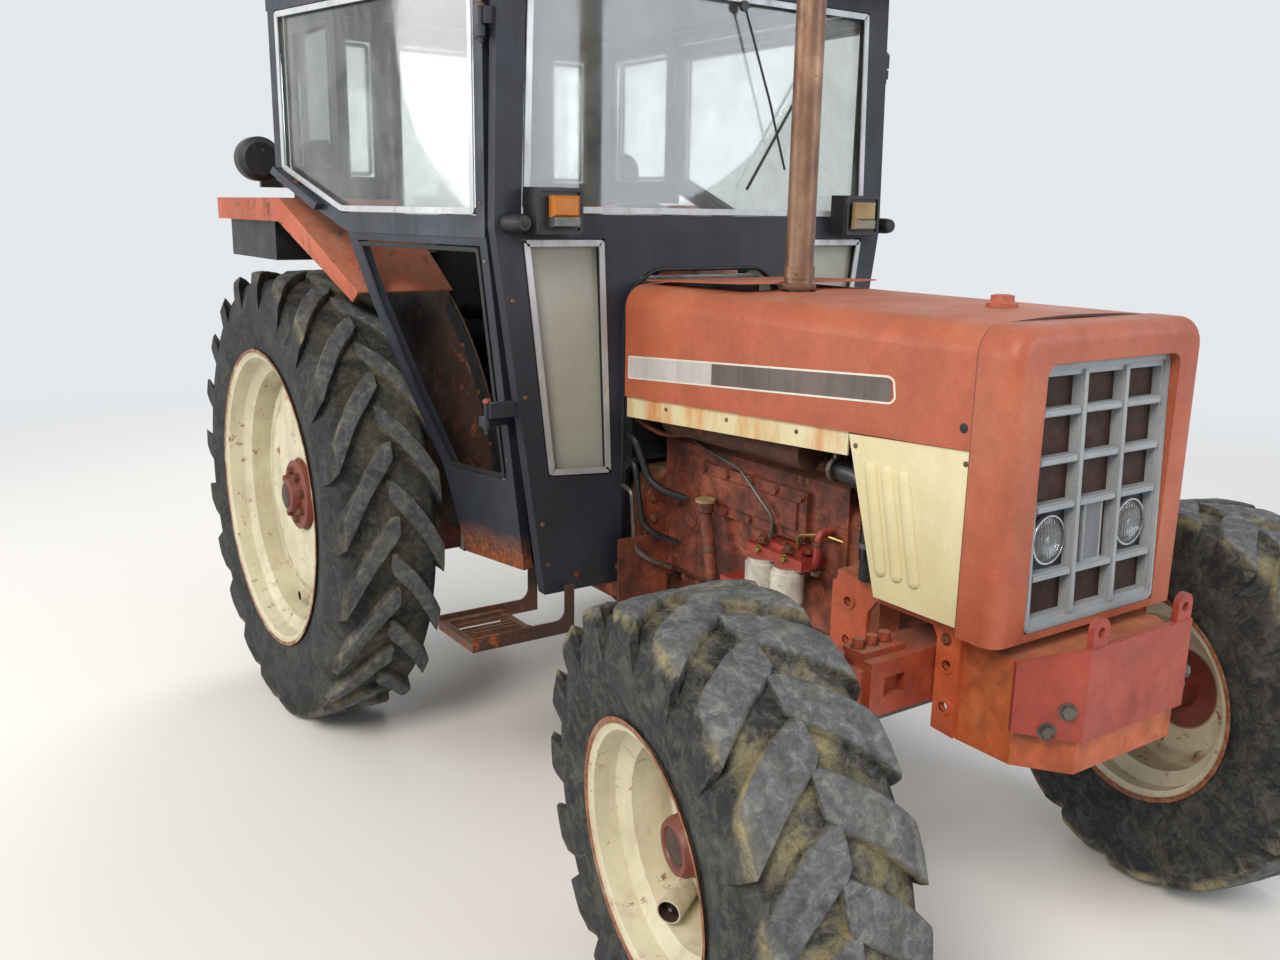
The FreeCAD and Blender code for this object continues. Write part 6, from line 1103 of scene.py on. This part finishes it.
def cushion(name, low, high, held, seams, key="seat", voxel=0.0075, cap=0.024):
    """A padded form swollen by cloth pressure and held where it rests, then cut by its sewn channels.
    held is the axis and the level that it rests on; seams are (axis, place) across the padded face."""
    mesh = bpy.data.meshes.new(name)
    bm = bmesh.new()
    bmesh.ops.create_cube(bm, size=1.0)
    for vertex in bm.verts:
        vertex.co = Vector([0.5 * (low[k] + high[k]) + vertex.co[k] * (high[k] - low[k] - 0.016) for k in range(3)])
    bm.to_mesh(mesh)
    bm.free()
    obj = bpy.data.objects.new(name, mesh)
    scene.collection.objects.link(obj)
    rounding = obj.modifiers.new("rounding", "BEVEL")
    rounding.width, rounding.segments = 0.022, 4
    remesh = obj.modifiers.new("remesh", "REMESH")
    remesh.mode, remesh.voxel_size = "VOXEL", voxel
    obj.data = bpy.data.meshes.new_from_object(obj.evaluated_get(bpy.context.evaluated_depsgraph_get()))
    obj.modifiers.clear()
    axis, level, padded_way = held
    start = [v.co.copy() for v in obj.data.vertices]
    pinned = obj.vertex_groups.new(name="held")
    pinned.add([v.index for v in obj.data.vertices if abs(v.co[axis] - level) < 0.022], 1.0, "REPLACE")
    cloth = obj.modifiers.new("cloth", "CLOTH")
    cloth.settings.vertex_group_mass = "held"
    cloth.settings.use_pressure = True
    cloth.settings.uniform_pressure_force = 4.0
    cloth.settings.effector_weights.gravity = 0.0
    for number in range(1, 21):
        scene.frame_set(number)
    obj.data = bpy.data.meshes.new_from_object(obj.evaluated_get(bpy.context.evaluated_depsgraph_get()))
    obj.modifiers.clear()
    scene.frame_set(1)
    top = low if padded_way < 0 else high
    for vertex, first in zip(obj.data.vertices, start):
        moved = vertex.co - first
        if moved.length > cap:
            vertex.co = first + moved * (cap / moved.length)
        for seam_axis, place in seams:
            near = math.exp(-((vertex.co[seam_axis] - place) / 0.009) ** 2)
            depth = max(0.0, 1.0 - abs(vertex.co[axis] - top[axis]) / 0.05)
            vertex.co[axis] -= padded_way * 0.011 * near * depth
        for k in range(3):
            vertex.co[k] = min(max(vertex.co[k], low[k] + 0.0004), high[k] - 0.0004)
    for polygon in obj.data.polygons:
        polygon.use_smooth = True
    smooth = obj.modifiers.new("one_subdivision", "SUBSURF")
    smooth.levels = smooth.render_levels = 1
    give(obj, M[key])
    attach(obj, "chassis")
    return obj


FLOOR_Z = 1.030
SEAT_LOW, SEAT_HIGH = (REAR_AXLE_X - 0.222, -0.235, 1.247), (REAR_AXLE_X + 0.230, 0.235, 1.323)
BACK_LOW, BACK_HIGH = (REAR_AXLE_X - 0.290, -0.225, 1.300), (REAR_AXLE_X - 0.214, 0.225, 1.720)
cushion("seat_cushion", SEAT_LOW, SEAT_HIGH, (2, 1.255, 1), [(1, -0.135), (1, 0.135), (0, REAR_AXLE_X + 0.120)])
cushion("seat_backrest", BACK_LOW, BACK_HIGH, (0, REAR_AXLE_X - 0.282, 1), [(1, -0.125), (1, 0.125)])

seat = Piece("seat_frame")
seat.box((REAR_AXLE_X - 0.200, -0.170, FLOOR_Z + 0.0003), (REAR_AXLE_X + 0.170, 0.170, FLOOR_Z + 0.030), "black", bevel=0.004)
for index in range(5):
    z = FLOOR_Z + 0.040 + index * 0.034
    seat.box((REAR_AXLE_X - 0.165, -0.150, z - 0.010), (REAR_AXLE_X + 0.140, 0.150, z + 0.010), "rubber", bevel=0.006)
    seat.box((REAR_AXLE_X - 0.158, -0.143, z + 0.010), (REAR_AXLE_X + 0.133, 0.143, z + 0.024), "rubber", bevel=0.006)
seat.box((REAR_AXLE_X - 0.200, -0.180, 1.222), (REAR_AXLE_X + 0.190, 0.180, 1.2465), "black", bevel=0.005)
for side in (1, -1):
    seat.tube([(REAR_AXLE_X - 0.190, side * 0.190, 1.236), (REAR_AXLE_X - 0.300, side * 0.190, 1.250),
               (REAR_AXLE_X - 0.302, side * 0.170, 1.640)], 0.010, "black", 10)
seat.tube([(REAR_AXLE_X - 0.302, -0.190, 1.560), (REAR_AXLE_X - 0.302, 0.190, 1.560)], 0.008, "black", 10)
seat.tube([(REAR_AXLE_X + 0.170, 0.150, 1.205), (REAR_AXLE_X + 0.215, 0.150, 1.200), (REAR_AXLE_X + 0.218, 0.060, 1.200)], 0.006, "steel", 8)
seat.done(replaces=("seat",))

inside = Piece("cab_controls")
DASH_X = REAR_AXLE_X + 0.900
gauge_turn = Matrix.Rotation(math.radians(180), 4, "Z")
for y, z, size in ((-0.130, 1.455, 0.036), (0.0, 1.470, 0.050), (0.130, 1.455, 0.036)):
    place = Matrix.Translation((DASH_X + 0.0, y, z - 0.030)) @ gauge_turn
    inside.turned([(0.0, size), (0.008, size), (0.010, size - 0.004), (0.006, size - 0.006), (0.006, 0.0)], "chrome", place, 36)
    inside.turned([(0.0062, size - 0.007), (0.0064, 0.0)], "gauge", place, 36)
    inside.prism([(-0.0015, -0.004), (0.0015, -0.004), (0.0008, size - 0.014), (-0.0008, size - 0.014)], 0.0066, 0.0076, "red_hinge", "x",
                 place @ Matrix.Rotation(0.9 - 6 * y, 4, "X"), bevel=0.0002)
for y in (-0.180, -0.140, 0.140, 0.180):
    place = Matrix.Translation((DASH_X, y, 1.350)) @ gauge_turn
    inside.turned([(0, 0.011), (0.006, 0.011), (0.008, 0.006), (0.022, 0.006), (0.026, 0.008), (0.026, 0.0)], "rubber", place, 16)
# gear levers, hand brake and the lift's quadrant
for base, knee, top, knob in (((0.640, 0.075, FLOOR_Z), (0.620, 0.085, 1.24), (0.560, 0.110, 1.395), 0.021),
                              ((0.560, -0.120, FLOOR_Z), (0.550, -0.125, 1.18), (0.500, -0.150, 1.300), 0.018),
                              ((0.120, -0.345, FLOOR_Z + 0.02), (0.130, -0.350, 1.20), (0.215, -0.350, 1.340), 0.017)):
    inside.tube([at(*base), at(*knee), at(*top)], 0.0075, "steel", 10)
    way = (Vector(at(*top)) - Vector(at(*knee))).normalized()
    place = Matrix.Translation(at(*top)) @ way.to_track_quat("X", "Z").to_matrix().to_4x4()
    inside.turned([(-0.010, 0.0), (-0.006, knob * 0.6), (0.008, knob), (0.022, knob * 0.85), (0.030, knob * 0.4), (0.031, 0.0)], "dash", place, 20)
    place = Matrix.Translation(at(base[0], base[1], FLOOR_Z))  @ Matrix.Rotation(math.radians(-90), 4, "Y")
    inside.turned([(0.0003, 0.0), (0.0003, 0.052), (0.012, 0.050), (0.030, 0.030), (0.055, 0.014), (0.055, 0.0)], "rubber", place, 24)
for y in (-0.300, -0.200, 0.230):
    inside.tube([at(1.060, y, 1.300), at(0.930, y, 1.230), at(0.890, y, 1.165)], 0.008, "steel", 8)
    place = Matrix.Translation(at(0.888, y, 1.150)) @ Matrix.Rotation(math.radians(28), 4, "Y")
    inside.box((-0.006, -0.038, -0.030), (0.006, 0.038, 0.030), "rubber", place, bevel=0.003)
    for index in range(4):
        z = -0.021 + index * 0.014
        inside.box((-0.009, -0.032, z - 0.003), (-0.005, 0.032, z + 0.003), "rubber", place, bevel=0.001)
inside.done()

# Rear end: linkage pins, drawbar, power take-off, lamps; steps and fenders

rear = Piece("rear_fasteners")
for name, side in SIDES:
    for index in range(8):
        a = 2 * math.pi * (index + 0.5) / 8
        rear.bolt(at(0.086 * math.cos(a) * 0.98, side * 0.520, REAR_AXLE_Z + 0.086 * math.sin(a) * 0.98), (0, side, 0), 0.009, "rusty_bolt", 0.008)
    rear.turned([(0, 0.0), (0, 0.020), (0.006, 0.020), (0.008, 0.016), (0.008, 0.0)], "steel",
                Matrix.Translation(at(-0.190, side * 0.353, 0.470)) @ Matrix.Rotation(math.radians(90 * side), 4, "Z"), 20)
    for x, z in ((-0.06, 1.500), (0.10, 1.500), (-0.30, 1.500)):
        rear.bolt(at(x, side * 0.5042, z), (0, -side, 0), 0.008, "rusty_bolt", 0.006)
for index in range(3):
    rear.turned([(-0.0003, 0.013), (0.0006, 0.013), (0.0006, 0.0)], "manifold",
                Matrix.Translation(at(-0.775 + 0.060 * index, 0, 0.4162)) @ Matrix.Rotation(math.radians(-90), 4, "Y"), 20)
for index in range(6):
    a = 2 * math.pi * index / 6
    place = Matrix.Translation(at(-0.3900, 0, 0.620)) @ Matrix.Rotation(a, 4, "X") @ Matrix.Translation((0, 0, 0.0178))
    rear.box((0.002, -0.0040, -0.0010), (0.068, 0.0040, 0.0022), "steel", place, bevel=0.0008)
for y in (-0.16, -0.10, 0.10, 0.16):
    for z in (0.68, 0.84):
        rear.bolt(at(-0.3205, y, z), (-1, 0, 0), 0.010, "rusty_bolt", 0.008)
rear.done()

lamps = Piece("rear_lamp_glass")
for name, side in SIDES:
    face = -0.560
    place = Matrix.Translation(at(face, side * 0.790, 1.895)) @ Matrix.Rotation(math.radians(180), 4, "Z")
    lamps.turned([(-0.001, 0.078), (0.004, 0.0785), (0.007, 0.076), (0.007, 0.070), (0.002, 0.068), (-0.001, 0.068)], "chrome", place, 40)
    lamps.turned([(0.0010, 0.069), (0.0045, 0.055), (0.0062, 0.030), (0.0066, 0.0)], "lens", place, 40)
    low, high = sorted((side * 0.560, side * 0.640))
    lamps.box((REAR_AXLE_X - 0.6500, low, 1.600), (REAR_AXLE_X - 0.6403, high, 1.690), "red_lens", bevel=0.003)
    low, high = sorted((side * 0.650, side * 0.730))
    lamps.box((REAR_AXLE_X - 0.6500, low, 1.600), (REAR_AXLE_X - 0.6403, high, 1.690), "amber", bevel=0.003)
lamps.done()

steps = Piece("step_fasteners")
for name, side in SIDES:
    for x in (0.990, 1.145):
        steps.bolt(at(x, side * 0.600, 0.585), (0, 0, 1), 0.009, "rusty_bolt", 0.007)
    for index in range(5):
        x = 0.985 + index * 0.0405
        low, high = sorted((side * 0.615, side * 0.770))
        steps.box((REAR_AXLE_X + x - 0.003, low, 0.5850), (REAR_AXLE_X + x + 0.003, high, 0.5885), "step", bevel=0.001)
steps.done()

skirt = Piece("fender_seals")
SKIRT_RADIUS = 0.845
for name, side in SIDES:
    near, far = sorted((side * 0.5103, side * 0.5150))
    arc = [math.radians(56 - 4 * k) for k in range(13)]
    outer = [(REAR_AXLE_X + (SKIRT_RADIUS - 0.001) * math.cos(a), REAR_AXLE_Z + (SKIRT_RADIUS - 0.001) * math.sin(a)) for a in arc]
    inner = [(REAR_AXLE_X + (SKIRT_RADIUS - 0.052) * math.cos(a), REAR_AXLE_Z + (SKIRT_RADIUS - 0.052) * math.sin(a)) for a in arc]
    for k in range(len(arc) - 1):
        skirt.prism([outer[k], outer[k + 1], inner[k + 1], inner[k]], near, far, "rubber", "y", bevel=0.0)
    for a in arc[::3]:
        where = (0.5 * (SKIRT_RADIUS + SKIRT_RADIUS - 0.052) - 0.018)
        skirt.bolt(at(where * math.cos(a), side * 0.515, REAR_AXLE_Z + where * math.sin(a)), (0, side, 0), 0.006, "rusty_bolt", 0.004)
skirt.done()

# Floor, lamps and camera

SKY_TONE, SKY_LIT, SKY_SEEN = "EEF1F4", 0.55, 0.92


def seen_level(tree):
    """The brightness that the camera, glass and polished metal see, and the lower one that lights the model."""
    path = tree.nodes.new("ShaderNodeLightPath")
    seen = path.outputs["Is Camera Ray"]
    for ray in ("Is Glossy Ray", "Is Transmission Ray"):
        either = tree.nodes.new("ShaderNodeMath")
        either.operation = "MAXIMUM"
        tree.links.new(seen, either.inputs[0])
        tree.links.new(path.outputs[ray], either.inputs[1])
        seen = either.outputs[0]
    level = tree.nodes.new("ShaderNodeMix")
    level.inputs["A"].default_value = SKY_LIT
    level.inputs["B"].default_value = SKY_SEEN
    tree.links.new(seen, level.inputs["Factor"])
    return level.outputs["Result"]


def floor_material(name, tone, near, far):
    """A pale floor that fades into the background between two distances from the middle."""
    s = Surface(name, Roughness=0.9)
    s.set("Base Color", s.ramp(s.noise(1.5, 3, 0.5), (0.0, tone), (1.0, tone)))
    glow = s.tree.nodes.new("ShaderNodeEmission")
    glow.inputs["Color"].default_value = rgb(SKY_TONE)
    s.tree.links.new(seen_level(s.tree), glow.inputs["Strength"])
    blend = s.tree.nodes.new("ShaderNodeMixShader")
    away = s.tree.nodes.new("ShaderNodeMapRange")
    s.link(s.vector_math("LENGTH", s.where), away.inputs["Value"])
    away.interpolation_type = "SMOOTHSTEP"
    away.inputs["From Min"].default_value = near
    away.inputs["From Max"].default_value = far
    s.tree.links.new(away.outputs["Result"], blend.inputs["Fac"])
    s.tree.links.new(s.shader.outputs["BSDF"], blend.inputs[1])
    s.tree.links.new(glow.outputs["Emission"], blend.inputs[2])
    s.tree.links.new(blend.outputs["Shader"], s.tree.nodes["Material Output"].inputs["Surface"])
    return s.material


bpy.ops.mesh.primitive_plane_add(size=60, location=(0, 0, -0.001))
floor = bpy.context.object
floor.name = "floor"
give(floor, floor_material("pale_floor", "E9E7E3", 3.0, 9.0))

world = bpy.data.worlds.new("studio")
scene.world = world
world.use_nodes = True
tree = world.node_tree
background = tree.nodes["Background"]
background.inputs["Color"].default_value = rgb(SKY_TONE)
tree.links.new(seen_level(tree), background.inputs["Strength"])


def area_lamp(name, place, target, size, watts, tone="FFFFFF"):
    lamp = bpy.data.lights.new(name, "AREA")
    lamp.shape = "DISK"
    lamp.size = size
    lamp.energy = watts
    lamp.color = rgb(tone)[:3]
    obj = bpy.data.objects.new(name, lamp)
    obj.location = place
    obj.rotation_euler = (Vector(target) - Vector(place)).to_track_quat("-Z", "Y").to_euler()
    scene.collection.objects.link(obj)


area_lamp("key", (4.5, -6.5, 6.5), (0.6, 0, 0.9), 3.5, 640, "FFF6EA")
area_lamp("fill", (6.5, 3.5, 3.5), (0.8, 0, 1.0), 4.0, 190, "EEF4FF")
area_lamp("back", (-6.0, 3.0, 5.5), (-0.5, 0, 1.2), 4.0, 240)
area_lamp("side", (-3.5, -7.0, 3.0), (-0.6, 0, 1.0), 4.0, 200)

# Camera, found from the rims' outlines in the photo: place, heading, tilt, roll and focal length
CAMERA = {"place": (3.836, -2.069, 1.739), "heading": 34.357, "tilt": -13.277, "roll": 0.943, "focal_px": 1147.48, "width_px": 1280}
heading, tilt, roll = (math.radians(CAMERA[key]) for key in ("heading", "tilt", "roll"))
ahead = Vector((-math.cos(heading) * math.cos(tilt), math.sin(heading) * math.cos(tilt), math.sin(tilt)))
right = ahead.cross(Vector((0, 0, 1))).normalized()
up = right.cross(ahead)
right, up = math.cos(roll) * right + math.sin(roll) * up, math.cos(roll) * up - math.sin(roll) * right
lens = bpy.data.cameras.new("camera")
lens.sensor_width = 36
lens.lens = 36 * CAMERA["focal_px"] / CAMERA["width_px"]
lens.clip_end = 200
camera = bpy.data.objects.new("camera", lens)
camera.matrix_world = Matrix.Translation(at(*CAMERA["place"])) @ Matrix((right, up, -ahead)).transposed().to_4x4()
scene.collection.objects.link(camera)
scene.camera = camera
scene.view_settings.view_transform = "Standard"
